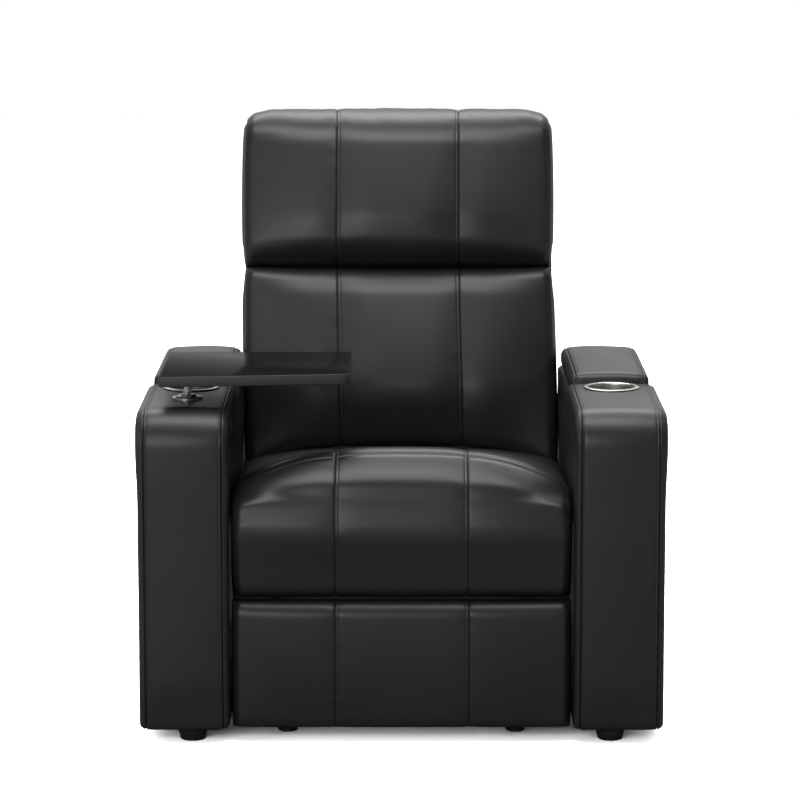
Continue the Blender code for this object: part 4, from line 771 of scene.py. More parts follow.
def turned(name, profile, centre, steps, *materials):
    """A form turned about an upright axis from (radius, height) points."""
    points, faces, rings = [], [], []
    for radius, height in profile:
        start = len(points)
        for k in range(1 if radius < 1e-7 else steps):
            angle = 2 * math.pi * k / steps
            x, y = centre[0] + radius * math.cos(angle), centre[1] + radius * math.sin(angle)
            points.append((x, y, height))
        rings.append(range(start, len(points)))
    for first, second in zip(rings, rings[1:]):
        for k in range(steps):
            around = ((first, k), (first, k + 1), (second, k + 1), (second, k))
            corners = [ring[i % len(ring)] for ring, i in around]
            face = list(dict.fromkeys(corners))
            if len(face) > 2:
                faces.append(face)
    mesh = bpy.data.meshes.new(name)
    mesh.from_pydata(points, [], faces)
    face_outwards(mesh)
    return show(name, mesh, *materials)


# Pieces


def cushion(name, node, body, corners, half, seams, heart, place, swell, draw, hold_least, end_radius,
            dome=0.005, shape_more=None, crossing=None):
    """A stitched cushion: lofted, filled, smoothed, with a row of stitches beside each seam."""
    chosen = looks()
    stitch = chosen.stitch_offset
    inner = half - end_radius
    outline = rounded(corners, 0.008 if crossing is None else 0.009)
    if crossing is not None:
        outline = refined(outline, crossing, 0.46)

    def shape(x, across, up, freedom, normal):
        push = swell(x, up) * (1 - 0.16 * sum(bell(x - seam, 0.035) for seam in seams))
        edge = abs(x) - (inner + end_radius * 0.55)
        relief = 0.0013 * wave(up, across, x, 0.011, 3.1) * bell(edge, 0.011)
        relief += 0.0012 * wave(up, across, x * 0.3, 0.010, 7.7) * bell(from_seam(x, seams), 0.013)
        relief -= 0.0016 * bell(edge, 0.0022) + groove(x, seams, stitch, chosen.seam_depth)
        move = push * freedom + relief * min(1, freedom * 3)
        move -= edge_inset(x, half, end_radius) * min(1, freedom * 2)
        spot = Vector((across, up)) + normal * move
        spot = Vector((x - math.copysign(draw(x, up), x) if abs(x) > 1e-6 else x, spot.x, spot.y))
        return shape_more(spot, freedom) if shape_more else spot

    loft = Loft(outline, width_stations(half, end_radius, seams, stitch, 0.010), shape, heart, dome, place)
    piece = loft.build(name, 'leather')
    weights = np.ones(len(loft.points))
    for k, x in enumerate(loft.stations):
        at_edge = 0.75 * ease(abs(x), inner - 0.004, inner + end_radius * 0.6)
        hold = max(hold_least, bell(from_seam(x, seams), 0.008), at_edge)
        for number, (across, up, freedom) in zip(loft.ring(k), loft.outline):
            weights[number] = max(hold, 1 - min(1, freedom * 1.5))
    inflate(piece, weights)
    subdivide(piece)
    rows = [loft.row(piece, seam - math.copysign(stitch, seam), lambda across, up, freedom: freedom > 0.25)
            for seam in seams]
    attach(piece, body)
    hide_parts(node)
    stitch_rows(name + '_stitches', rows, body)
    return piece, loft


def drawn_sides(half, low, high, depth):
    """A cushion's sides drawn in towards its upper and lower edge."""
    def draw(x, up):
        share = 2 * (up - low) / (high - low) - 1
        return depth * share ** 2 * abs(x / half) ** 4
    return draw


class RECLINER_OT_back_pillows(bpy.types.Operator):
    """Makes the head pillow and the lumbar pillow"""

    bl_idname = 'recliner.back_pillows'
    bl_label = 'Back Pillows'

    def execute(self, context):
        seams = (-looks().seam_offset_back, looks().seam_offset_back)
        plane = back_reach('back_frame')[0].y - SKIN
        self.lumbar(plane, seams)
        self.head(plane, back_reach('lumbar_cushion')[1].x, seams)
        return {'FINISHED'}

    def lumbar(self, plane, seams):
        """The lumbar pillow, fullest a third of the way up."""
        low, high = back_reach('lumbar_cushion')
        half = high.x
        front = low.y + 0.052
        bottom, parting = low.z - 0.014, high.z + 0.006
        corners = [
            (plane, bottom + 0.002, 0, 0),
            (plane, parting, 0, 0),
            (front, parting, 0.026, 1),
            (front, bottom, 0.024, 0),
        ]

        def swell(x, up):
            share = (up - low.z) / (high.z - low.z)
            belly = 1 - 0.90 * clamp((0.31 - share) / 0.31) ** 1.6
            belly -= 0.45 * clamp((share - 0.34) / 0.48) ** 1.3 + 0.55 * clamp((share - 0.82) / 0.18) ** 1.4
            return 0.054 * belly * (1 - abs(x / half) ** 2.4)

        def draw(x, up):
            share = max(0.0, 2 * (up - low.z) / (high.z - low.z) - 1)
            return 0.003 * share ** 2 * abs(x / half) ** 4

        def settle(spot, freedom):
            fall = 0.048 * abs(spot.x / half) ** 3.6 * (1 - ease(spot.z, bottom, low.z + 0.10))
            return Vector((spot.x - 0.006 * ease(spot.z, bottom, high.z), spot.y, spot.z - fall))

        heart = [(plane - 0.03, low.z + 0.05), (plane - 0.05, high.z - 0.06)]
        cushion('lumbar_pillow', 'lumbar_cushion', 'back', corners, half, seams, heart, BACK_PLACE,
                swell, draw, 0.3, PILLOW_EDGE, shape_more=settle)

    def head(self, plane, half, seams):
        """The head pillow, which wraps over the top of the frame."""
        low, high = back_reach('head_cushion')
        over = back_reach('back_frame')[1].z + SKIN
        front = low.y + 0.040
        top = high.z - 0.010
        parting = low.z + 0.006
        corners = [
            (plane, parting, 0, 0),
            (plane, over, 0, 0),
            (high.y - 0.004, over, 0.010, 0.3),
            (high.y - 0.004, top, 0.026, 0.6),
            (front + 0.002, top, 0.060, 1),
            (front, parting, 0.050, 0),
        ]

        def swell(x, up):
            share = (up - low.z) / (top - low.z)
            belly = 1 - 0.42 * clamp((share - 0.34) / 0.72) ** 1.4
            belly -= 0.62 * clamp((0.31 - share) / 0.31) ** 1.4
            belly *= 1 - 0.86 * ease(share, 0.74, 1.0)
            return 0.043 * belly * (1 - abs(x / half) ** 2.3)

        def soften_top(spot, freedom):
            high_share = ease(spot.z, top - 0.10, top + 0.005)
            fall = 0.012 * ease(abs(spot.x), half - 0.065, half + 0.006) ** 1.4
            fall -= 0.0014 * wave(spot.x, 0, 0, 0.035, 5.0)
            fall -= 0.0012 * wave(spot.x, spot.y * 0.3, 0, 0.012, 2.0)
            return Vector((spot.x - 0.007, spot.y, spot.z - fall * high_share))

        heart = [(plane - 0.055, low.z + 0.055), (plane - 0.045, over - 0.01),
                 (high.y - 0.04, (over + top) / 2)]
        cushion('head_pillow', 'head_cushion', 'back', corners, half, seams, heart, BACK_PLACE, swell,
                drawn_sides(half, low.z, top, 0.004), 0.3, PILLOW_EDGE, shape_more=soften_top)


class RECLINER_OT_seat_cushion(bpy.types.Operator):
    """Makes the seat cushion with its front roll and its cross seam"""

    bl_idname = 'recliner.seat_cushion'
    bl_label = 'Seat Cushion'

    def execute(self, context):
        seams = (-looks().seam_offset_seat, looks().seam_offset_seat)
        low, high, _, half = measured('seat_cushion')
        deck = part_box('seat_spring_middle')[1].z + 0.0006
        front, rear = low.y + 0.013, high.y - 0.002
        inner = front + 0.066
        crown = high.z - 0.002
        corners = [
            (rear, deck, 0.010, 0.1),
            (rear, 0.437, 0.014, 1),
            (-0.30, crown - 0.021, 0.25, 1),
            (front + 0.076, crown - 0.001, 0.050, 1),
            (front + 0.008, crown - 0.060, 0.045, 1),
            (front - 0.004, 0.386, 0.100, 1),
            (front + 0.016, low.z - 0.003, 0.030, 0),
            (inner, low.z - 0.003, 0.0085, 0),
            (inner, deck, 0, 0),
        ]
        cross = front + 0.066

        def swell(x, up):
            full = 0.008 * bell(up - 0.385, 0.046) + 0.004 * bell(up - 0.490, 0.022)
            return 0.003 + full * (1 - abs(x / half) ** 4)

        def draw(x, up):
            share = (up - 0.38) / (0.38 - low.z)
            return 0.0015 * min(1, share ** 2) * abs(x / half) ** 4

        def crowned(spot, freedom):
            rise = max(0.0, spot.z - 0.400) / (crown - 0.400)
            fall = 0.072 * rise * abs(spot.x / half) ** 3
            away = spot.y - cross
            drop = 0.0040 * bell(away, 0.0011) + 0.0018 * bell(away, 0.008)
            drop += 0.0014 * bell(away - 0.0062, 0.0012)
            drop *= ease(spot.z, 0.44, 0.47)
            level = spot.z - fall - 0.452
            dent = 0.0030 * bell(spot.x + 0.215, 0.100) * bell(level - 0.006, 0.013)
            dent += 0.0022 * bell(spot.x - 0.250, 0.070) * bell(level, 0.013) + 0.0028 * bell(level, 0.013)
            dent *= ease(-spot.y, 0.38, 0.43)
            drop += fall * ease(freedom, 0, 0.5) + dent * 0.5
            return Vector((spot.x, spot.y + dent * 0.9, spot.z - drop))

        heart = [(front + 0.034, low.z + 0.04), (front + 0.05, 0.42), (rear - 0.05, 0.405)]
        piece, loft = cushion('seat_cushion_cover', 'seat_cushion', 'carriage', corners, half, seams, heart,
                              Matrix(), swell, draw, 0.25, CUSHION_EDGE, 0.0015, crowned, cross)
        nearness = [(up < 0.45, abs(across - cross - 0.006)) for across, up, _ in loft.outline]
        row = nearness.index(min(nearness))
        numbers = [loft.ring(k)[row] for k in range(3, len(loft.stations) - 3)]
        stitch_rows('seat_cross_stitches', [run_of(piece, numbers)], 'carriage')
        return {'FINISHED'}


class RECLINER_OT_footrest_pad(bpy.types.Operator):
    """Makes the padded footrest panel"""

    bl_idname = 'recliner.footrest_pad'
    bl_label = 'Footrest Pad'

    def execute(self, context):
        seams = (-looks().seam_offset_seat, looks().seam_offset_seat + 0.002)
        low, high, _, half = measured('footrest_pad')
        front, rear = low.y + 0.008, high.y
        corners = [
            (rear, low.z, 0, 0),
            (rear, high.z, 0, 0),
            (front, high.z, 0.026, 1),
            (front, low.z, 0.016, 0),
        ]

        def swell(x, up):
            share = clamp((up - low.z) / (high.z - low.z))
            return (0.004 + 0.006 * math.sin(math.pi * share)) * (1 - abs(x / half) ** 4)

        heart = [((front + rear) / 2, low.z + 0.03), ((front + rear) / 2, high.z - 0.03)]
        cushion('footrest_cover', 'footrest_pad', 'footrest', corners, half, seams, heart, Matrix(), swell,
                drawn_sides(half, low.z, high.z, 0.0012), 0.3, PAD_EDGE, 0.0015)
        return {'FINISHED'}


class RECLINER_OT_back_cover(bpy.types.Operator):
    """Makes the rear cover of the back, which also wraps the frame's sides"""

    bl_idname = 'recliner.back_cover'
    bl_label = 'Back Cover'

    def execute(self, context):
        board_low, board_high = back_reach('back_frame')
        low, high = back_reach('back_panel')
        half = high.x - 0.001
        outer = high.y - 0.006
        corners = [
            (board_high.y + SKIN, low.z, 0.004, 0.3),
            (outer, low.z, 0.024, 1),
            (outer, high.z, 0.002, 0),
            (board_high.y + SKIN, high.z, 0.002, 0),
        ]

        def shape(x, across, up, freedom, normal):
            share = clamp((up - low.z) / (high.z - low.z))
            move = 0.005 * (1 - abs(x / half) ** 3) * math.sin(math.pi * share) ** 0.6
            move += 0.0011 * wave(x, across, up, 0.11, 2.0) - 0.0020 * bell(abs(x) - half + 0.022, 0.0022)
            move -= 0.0020 * bell(up - low.z - 0.030, 0.0030) + edge_inset(x, half, BACK_EDGE)
            spot = Vector((across, up)) + normal * move * freedom
            return x, spot.x, spot.y

        middle = (board_low.y + outer) / 2 + 0.018
        loft = Loft(rounded(corners, 0.012), width_stations(half, BACK_EDGE, (), 0, 0.014), shape,
                    [(middle, low.z + 0.04), (middle, high.z - 0.04)], 0.0008, BACK_PLACE)
        piece = loft.build('rear_cover', 'cover')
        subdivide(piece)
        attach(piece, 'back')
        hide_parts('back_panel')
        hem = half - 0.028
        rows = [loft.row(piece, x, lambda across, up, freedom: freedom > 0.9) for x in (-hem, hem)]
        stitch_rows('rear_cover_stitches', rows, 'back')
        self.wrap_frame()
        return {'FINISHED'}

    def wrap_frame(self):
        """Leather boxing glued around the frame's board."""
        mesh = frame['nodes']['back_frame'].data.copy()
        piece = show('frame_boxing', mesh, 'leather')
        ease_edges(mesh, 0.0025, 0.6, lambda edge: edge.calc_face_angle() > math.radians(40))
        mesh.shade_smooth()
        keep_edges(piece, 35)
        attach(piece, 'back')
        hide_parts('back_frame')


class RECLINER_OT_arms(bpy.types.Operator):
    """Makes both upholstered arms, with cup holes, storage wells and edge seams"""

    bl_idname = 'recliner.arms'
    bl_label = 'Arms'

    def execute(self, context):
        for name, side in SIDES.items():
            self.arm(name, side)
        return {'FINISHED'}

    def arm(self, name, side):
        """One arm, lofted across its width and hollowed."""
        low, high, (middle, _), half = measured(f'arm_{name}')
        rim = LID_LOW.z - SKIN
        block = LID_LOW.y - 0.0015
        corners = [
            (low.y, low.z - 0.005, 0.014, 1),
            (high.y, low.z - 0.003, 0.014, 1),
            (high.y, rim, 0.006, 0.2),
            (block, rim, 0.002, 0.0),
            (block, high.z, 0.008, 0.6),
            (low.y, high.z, 0.064, 1),
        ]
        # the crown ends further forward on the left, where the tray's base needs a flat top
        fade = (-0.44, -0.335) if name == 'left' else (-0.42, -0.24)
        seam = half - EDGE_SEAM
        stations = edge_stations(half, ARM_EDGE, (-0.0024, 0.0024, -0.0048, -0.0060, -0.0037), 0.012, 0.012)

        def shape(x, across, up, freedom, normal):
            fold = abs(x) - seam
            move = 0.0062 * (1 - (x / half) ** 2) * ease(up, 0.03, 0.12) * (1 - ease(across, *fade))
            move += 0.0004 * wave(up, across, x, 0.006, 4.0) * bell(fold, 0.007)
            move += 0.0009 * wave(x, across, up, 0.09, side * 2.0)
            move -= 0.0034 * bell(fold, 0.0011) + 0.0012 * bell(fold + ARM_STITCHES, 0.0012)
            spot = Vector((across, up)) + normal * (move * freedom - edge_inset(x, half, ARM_EDGE))
            return middle + x, spot.x, spot.y

        heart = [(low.y + 0.26, (low.z + high.z) / 2), (high.y - 0.26, (low.z + high.z) / 2)]
        loft = Loft(rounded(corners, 0.011), stations, shape, heart, 0.0)
        for spot in loft.points:
            out = spot.x - middle
            if abs(out) < half - 0.004:
                continue
            away = min(spot.y - low.y, high.y - spot.y, spot.z - low.z, high.z - spot.z)
            depth = ease(away, 0.004, 0.12)
            slow = depth * wave(spot.y, spot.z, side, 0.13, 1.5)
            if out * side > 0:
                bulge = 0.0016 + 0.0056 * depth * ease(spot.z, 0.0, 0.45) + 0.0028 * ease(spot.z, 0.44, 0.54)
                bulge += 0.0012 * slow
            else:
                bulge = 0.0008 + 0.0050 * depth * ease(spot.z, 0.44, 0.50) * ease(spot.y, -0.25, 0.08)
                folds = 0.0016 * wave(spot.y, spot.z * 0.25, side, 0.022, 6.0) * ease(spot.z, 0.40, 0.50)
                bulge += folds * (1 - ease(spot.y, -0.25, -0.12)) + 0.0005 * slow
            spot.x += math.copysign(bulge, out)
        piece = loft.build(f'arm_{name}_cover', 'leather')
        subdivide(piece)
        self.hollow(piece, name, middle, half, rim)
        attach(piece, 'base')
        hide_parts(f'arm_{name}')

    def hollow(self, piece, name, middle, half, rim):
        """Cuts the storage well, the cup hole and the smaller holes."""
        play = 0.0004
        wall, rear_wall, depth = 0.026, 0.034, 0.190
        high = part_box(f'arm_{name}')[1]
        upright = {f'cup_holder_{name}': (middle, CUP_Y)}
        if name == 'left':
            upright['tray_post'] = JOINTS['tray_swivel']['pos_m']
        tools = [block_tool((middle - half + wall, LID_LOW.y + wall, rim - depth),
                            (middle + half - wall, high.y - rear_wall, rim + wall), 0.010)]
        for node, centre in upright.items():
            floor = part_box(node)[0].z - play
            tools.append(round_tool(centre, reach_at(node, centre) + play, floor, high.z + wall))
        if name == 'left':
            bezel_low, bezel_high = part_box('switch_bezel')
            spots = points_of('switch_bezel')
            deep = spots[spots[:, 0] < bezel_low.x + play]
            low, top = deep.min(0) - play, deep.max(0) + play
            tools.append(block_tool(low, (bezel_high.x + wall, top[1], top[2]), 0))
        for tool in tools:
            step = piece.modifiers.new('hole', 'BOOLEAN')
            step.operation, step.solver, step.object = 'DIFFERENCE', 'EXACT', tool
            apply_modifiers(piece)
            mesh = tool.data
            bpy.data.objects.remove(tool)
            bpy.data.meshes.remove(mesh)
        piece.data.shade_smooth()
        keep_edges(piece, 38)


def edge_stations(half, radius, steps, span, margin):
    """Places across a form with rounded edges, close together at the seam near each edge."""
    seam = half - EDGE_SEAM
    places = [half - radius + radius * math.sin(a) for a in END_ANGLES]
    places += [seam + step for step in (0, -0.0009, 0.0009, -0.010, *steps)]
    places += spread(span, seam - margin, span)
    return sorted({0.0, *(side * x for x in places for side in (-1, 1))})


def block_tool(low, high, radius):
    """A cutter block with rounded upright edges."""
    work = bmesh.new()
    bmesh.ops.create_cube(work, size=1)
    low, high = Vector(low), Vector(high)
    for vert in work.verts:
        vert.co = Vector(h if c > 0 else l for c, l, h in zip(vert.co, low, high))
    if radius:
        upright = [e for e in work.edges if abs(e.verts[0].co.z - e.verts[1].co.z) > (high.z - low.z) / 2]
        bmesh.ops.bevel(work, geom=upright, offset=radius, segments=6, profile=0.5, affect='EDGES')
    mesh = bpy.data.meshes.new('tool')
    closed(work, mesh)
    tool = bpy.data.objects.new('tool', mesh)
    bpy.context.scene.collection.objects.link(tool)
    return tool


def round_tool(centre, radius, low, high):
    """A cutter cylinder about an upright axis."""
    return turned('tool', [(0, low), (radius, low), (radius, high), (0, high)], centre, looks().cup_steps)


class RECLINER_OT_lids(bpy.types.Operator):
    """Makes the padded storage lids"""

    bl_idname = 'recliner.lids'
    bl_label = 'Lids'

    def execute(self, context):
        for name, side in SIDES.items():
            self.lid(name, side)
        return {'FINISHED'}

    def lid(self, name, side):
        """One lid, lofted across its width."""
        low, high, (middle, _), half = measured(f'lid_{name}')
        top = high.z - 0.013
        corners = [
            (low.y, low.z, 0.006, 0),
            (high.y, low.z, 0.004, 0),
            (high.y, top, 0.016, 1),
            (low.y, top, 0.032, 0.4),
        ]
        seam = half - EDGE_SEAM
        stations = edge_stations(half, LID_EDGE, (-0.0022, 0.0024, -0.0046, -0.0058, -0.0034), 0.010, 0.011)

        def shape(x, across, up, freedom, normal):
            fold = abs(x) - seam
            ends = (across - low.y) * (high.y - across) / ((high.y - low.y) / 2) ** 2
            move = 0.0070 * (1 - (x / half) ** 2) * max(0, ends) ** 0.35 * ease(up, low.z + 0.01, top)
            move += 0.0007 * wave(x, across, up, 0.07, side * 5.0)
            move -= 0.0030 * bell(fold, 0.0011) + 0.0011 * bell(fold + LID_STITCHES, 0.0012)
            inset = edge_inset(x, half, LID_EDGE) * (0.35 + 0.65 * min(1, freedom * 2))
            spot = Vector((across, up)) + normal * (move * freedom - inset)
            return middle + x, spot.x, spot.y

        heart = [(low.y + 0.022, (low.z + top) / 2), (high.y - 0.022, (low.z + top) / 2)]
        loft = Loft(rounded(corners, 0.009), stations, shape, heart, 0.0)
        for spot in loft.points:
            out = spot.x - middle
            if abs(out) > half - 0.002:
                away = min(spot.y - low.y, high.y - spot.y)
                share = clamp((spot.z - low.z) / (top - low.z))
                swell = 0.0016 * math.sin(math.pi * share) * ease(away, 0.0, 0.03)
                spot.x += math.copysign(swell - 0.0013 * bell(spot.z - low.z - 0.0075, 0.0016), out)
        piece = loft.build(f'lid_{name}_cover', 'leather')
        subdivide(piece)
        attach(piece, f'lid_{name}')
        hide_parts(f'lid_{name}')
        rows = [loft.row(piece, x, lambda across, up, freedom: freedom > 0.2 or across < low.y + 0.004)
                for x in (LID_STITCHES - seam, seam - LID_STITCHES)]
        stitch_rows(f'lid_{name}_stitches', rows, f'lid_{name}')


class RECLINER_OT_arm_seams(bpy.types.Operator):
    """Sews the stitches beside the arms' edge seams"""

    bl_idname = 'recliner.arm_seams'
    bl_label = 'Arm Seams'

    def execute(self, context):
        for name in SIDES:
            low, high, (middle, _), half = measured(f'arm_{name}')
            cover = bpy.data.objects[f'arm_{name}_cover']
            tree = BVHTree.FromObject(cover, bpy.context.evaluated_depsgraph_get())
            casts = [((low.y - 0.05, z), (1, 0)) for z in np.arange(low.z + 0.016, high.z - 0.06, 0.003)]
            for across, up in arc(0, 0, 1, 1, 180, 90, 12):
                casts.append(((low.y + 0.06 + across * 0.12, high.z - 0.06 + up * 0.12), (-across, -up)))
            behind = np.arange(low.y + 0.063, LID_LOW.y - 0.006, 0.003)
            casts += [((y, high.z + 0.05), (0, -1)) for y in behind]
            rows = []
            for sign in (-1, 1):
                x = middle + sign * (half - EDGE_SEAM - ARM_STITCHES)
                hits = [tree.ray_cast(Vector((x, *start)), Vector((0, *ray))) for start, ray in casts]
                rows.append([(spot, up) for spot, up, _, _ in hits if spot is not None])
            stitch_rows(f'arm_{name}_stitches', rows, 'base')
        return {'FINISHED'}


class RECLINER_OT_cup_holders(bpy.types.Operator):
    """Turns both steel cups with a rolled flange, a rounded floor and a pressed ring"""

    bl_idname = 'recliner.cup_holders'
    bl_label = 'Cup Holders'

    def execute(self, context):
        for name in SIDES:
            low, high, centre, flange = measured(f'cup_holder_{name}')
            body = reach_at(f'cup_holder_{name}', centre)
            wall, lip = 0.0010, 0.0034
            bore, seat = body - wall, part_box(f'arm_{name}')[1].z + SKIN
            floor = low.z + wall
            rim = (high.z - 0.0007 - seat) / 2
            profile = [
                (0, floor + 0.0012), (0.016, floor + 0.0012), (0.0175, floor + 0.0002),
                (0.0215, floor + 0.0002), (0.023, floor + 0.0012), (bore - 0.012, floor + 0.0012),
                *arc(bore - 0.009, floor + 0.0102, 0.009, 0.009, -90, 0, 6),
                (bore, seat - 0.010), (bore, seat - 0.004),
                *arc(bore + lip, high.z - lip - 0.0001, lip, lip, 180, 90, 6),
                (flange - 0.0030, high.z - 0.0007),
                *arc(flange - rim - 0.0012, seat + rim, rim + 0.0012, rim, 90, -90, 8, 1),
                (body + 0.001, seat), (body, seat - 0.001), (body, low.z + 0.008),
                *arc(body - 0.008, low.z + 0.008, 0.008, 0.008, 0, -90, 6, 1),
                (0, low.z),
            ]
            cup = turned(f'cup_{name}', profile, centre, looks().cup_steps,
                         'steel' if name == 'right' else 'steel_left')
            keep_edges(cup, 50)
            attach(cup, 'base')
            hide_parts(f'cup_holder_{name}')
        return {'FINISHED'}


class RECLINER_OT_tray(bpy.types.Operator):
    """Makes the swivel tray, its post and its base disc"""

    bl_idname = 'recliner.tray'
    bl_label = 'Tray'

    def execute(self, context):
        post = JOINTS['tray_swivel']['pos_m']
        steps = looks().cup_steps
        low, high, _, flange = measured('tray_post')
        stem = reach_at('tray_post', post)
        arm_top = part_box('arm_left')[1].z
        under = high.z
        collar = stem + 0.0022
        profile = [
            (0, low.z), (stem - 0.0008, low.z), (stem, low.z + 0.0008), (stem, arm_top + 0.0092),
            (collar, arm_top + 0.0096), (collar, arm_top + 0.0116), (stem, arm_top + 0.012),
            (stem, under - 0.010), (stem + 0.0035, under - 0.0065), (flange - 0.0012, under - 0.0030),
            (flange, under - 0.0020), (flange, under), (0, under),
        ]
        piece = turned('tray_stem', profile, post, steps, 'post')
        keep_edges(piece, 40)
        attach(piece, 'tray')
        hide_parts('tray_post')
        low, high, _, rim = measured('tray_socket')
        bore = stem + 0.0004
        profile = [(bore, low.z), (rim, low.z), (rim, low.z + 0.0022), (rim - 0.0015, low.z + 0.0032),
                   (rim - 0.0105, low.z + 0.0040), (rim - 0.0130, high.z - 0.0010), (rim - 0.0145, high.z),
                   (bore + 0.0006, high.z), (bore, high.z - 0.0006), (bore, low.z)]
        disc = turned('tray_base', profile, post, steps, 'post')
        keep_edges(disc, 30)
        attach(disc, 'base')
        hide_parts('tray_socket')
        self.top()
        return {'FINISHED'}

    def top(self):
        """The tray's board with laminate faces and a woven edge band."""
        low, high, _, board_half = measured('tray_top')
        work = opened(frame['nodes']['tray_top'].data, 1)
        outline = max((f for f in work.faces if f.normal.z > 0.9), key=lambda f: f.calc_area())
        spots = [Vector((v.co.x, v.co.y)) for v in outline.verts]
        work.free()
        middle, half = (low.z + high.z) / 2, (high.z - low.z) / 2
        centre = sum(spots, Vector((0, 0))) / len(spots)
        spots.sort(key=lambda s: math.atan2(s.y - centre.y, s.x - centre.x))
        count = len(spots)
        eased = board_half - (max(s.x for s in spots) - min(s.x for s in spots)) / 2
        outs = []
        for i in range(count):
            along = (spots[(i + 1) % count] - spots[i - 1]).normalized()
            outs.append(Vector((along.y, -along.x)))
        upper = [(eased - 0.0018, half), (eased - 0.0006, half - 0.0004), (eased, half - 0.0015)]
        profile = upper + [(eased, 0)] + [(out, -up) for out, up in reversed(upper)]
        points = [(*(spot + way * out), middle + up) for out, up in profile for spot, way in zip(spots, outs)]
        faces = tube_faces(len(profile), count)
        bands = [1 if 1 <= i // count <= 4 else 0 for i in range(len(faces))] + [0, 0]
        faces += [tuple(range(count)), tuple(len(points) - count + i for i in reversed(range(count)))]
        mesh = bpy.data.meshes.new('tray_board')
        mesh.from_pydata(points, [], faces)
        board = show('tray_board', mesh, 'laminate', 'edge_band')
        mesh.polygons.foreach_set('material_index', bands)
        face_outwards(mesh)
        keep_edges(board, 50)
        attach(board, 'tray')
        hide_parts('tray_top')


class RECLINER_OT_feet(bpy.types.Operator):
    """Turns the arms' feet and the glides of the base"""

    bl_idname = 'recliner.feet'
    bl_label = 'Feet'

    def execute(self, context):
        for name in SIDES:
            for end in ('front', 'rear'):
                _, high, centre, radius = measured(f'arm_foot_{end}_{name}')
                base = reach_at(f'arm_foot_{end}_{name}', centre)
                profile = [
                    (0, 0.0006), (base - 0.006, 0.0006), (base - 0.004, 0), (base - 0.001, 0),
                    (base + 0.0004, 0.0012), (radius - 0.0012, high.z - 0.0075),
                    (radius - 0.0030, high.z - 0.0068), (radius - 0.0030, high.z - 0.0058),
                    (radius - 0.0006, high.z - 0.0052), (radius, high.z - 0.0040),
                    (radius, high.z - 0.0010), (radius - 0.0010, high.z), (0, high.z),
                ]
                foot = turned(f'foot_{end}_{name}', profile, centre, looks().cup_steps, 'plastic')
                keep_edges(foot, 50)
                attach(foot, 'base')
                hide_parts(f'arm_foot_{end}_{name}')
                self.glide(name, end)
        return {'FINISHED'}

    def glide(self, name, end):
        """One glide of the base: a pad on a threaded stem."""
        node = f'glide_{end}_{name}'
        _, high, centre, radius = measured(node)
        spots = points_of(node)
        stem = reach_of(spots[spots[:, 2] > high.z - LEVEL], centre)
        pad = float(np.sort(np.unique(np.round(spots[:, 2], 4)))[1])
        profile = [(0, 0), (radius - 0.0020, 0), (radius, 0.0018), (radius, pad - 0.0040),
                   (radius - 0.0018, pad - 0.0014), (stem + 0.0010, pad), (stem, pad + 0.0004)]
        pitch = 0.0016
        thread = pad + pitch
        while thread + pitch < high.z - 0.0010:
            profile += [(stem, thread), (stem - 0.0006, thread + 0.0007), (stem, thread + 0.0014)]
            thread += pitch
        profile += [(stem, high.z), (0, high.z)]
        piece = turned(f'base_{node}', profile, centre, looks().cup_steps // 2, 'plastic')
        keep_edges(piece, 40)
        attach(piece, 'base')
        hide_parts(node)


class RECLINER_OT_switch(bpy.types.Operator):
    """Gives the switch eased edges and moulded plastic"""

    bl_idname = 'recliner.switch'
    bl_label = 'Switch'

    def execute(self, context):
        bodies = {'switch_bezel': 'base', 'button_open': 'button_open', 'button_close': 'button_close'}
        for node, body in bodies.items():
            mesh = frame['nodes'][node].data.copy()
            piece = show(f'{node}_moulding', mesh, 'plastic')
            if node == 'switch_bezel':
                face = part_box(node)[1].x - LEVEL
                ease_edges(mesh, 0.0009, 0.5, lambda edge: edge.calc_face_angle() > 0.7
                           and min(v.co.x for v in edge.verts) > face)
            mesh.shade_smooth()
            keep_edges(piece, 40)
            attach(piece, body)
            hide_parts(node)
        return {'FINISHED'}


FINISHES = {
    'painted': ('base_', 'front_swing', 'rear_swing', 'seat_plate', 'seat_cross', 'torque', 'main_link',
                'rear_link', 'carrier', 'tie', 'footrest_bracket', 'back_bracket'),
    'zinc': ('lid_hinge', 'seat_spring'),
    'plywood': ('seat_front_rail', 'seat_rear_rail', 'footrest_board'),
    'plastic': ('actuator', 'drive_nut'),
}


class RECLINER_OT_mechanism(bpy.types.Operator):
    """Paints the steel mechanism, the springs, the rails and the drive"""

    bl_idname = 'recliner.mechanism'
    bl_label = 'Mechanism'

    def execute(self, context):
        for finish, starts in FINISHES.items():
            for name, node in frame['nodes'].items():
                if name.startswith(starts):
                    for slot in node.material_slots:
                        slot.material = MATERIALS[finish]
        return {'FINISHED'}


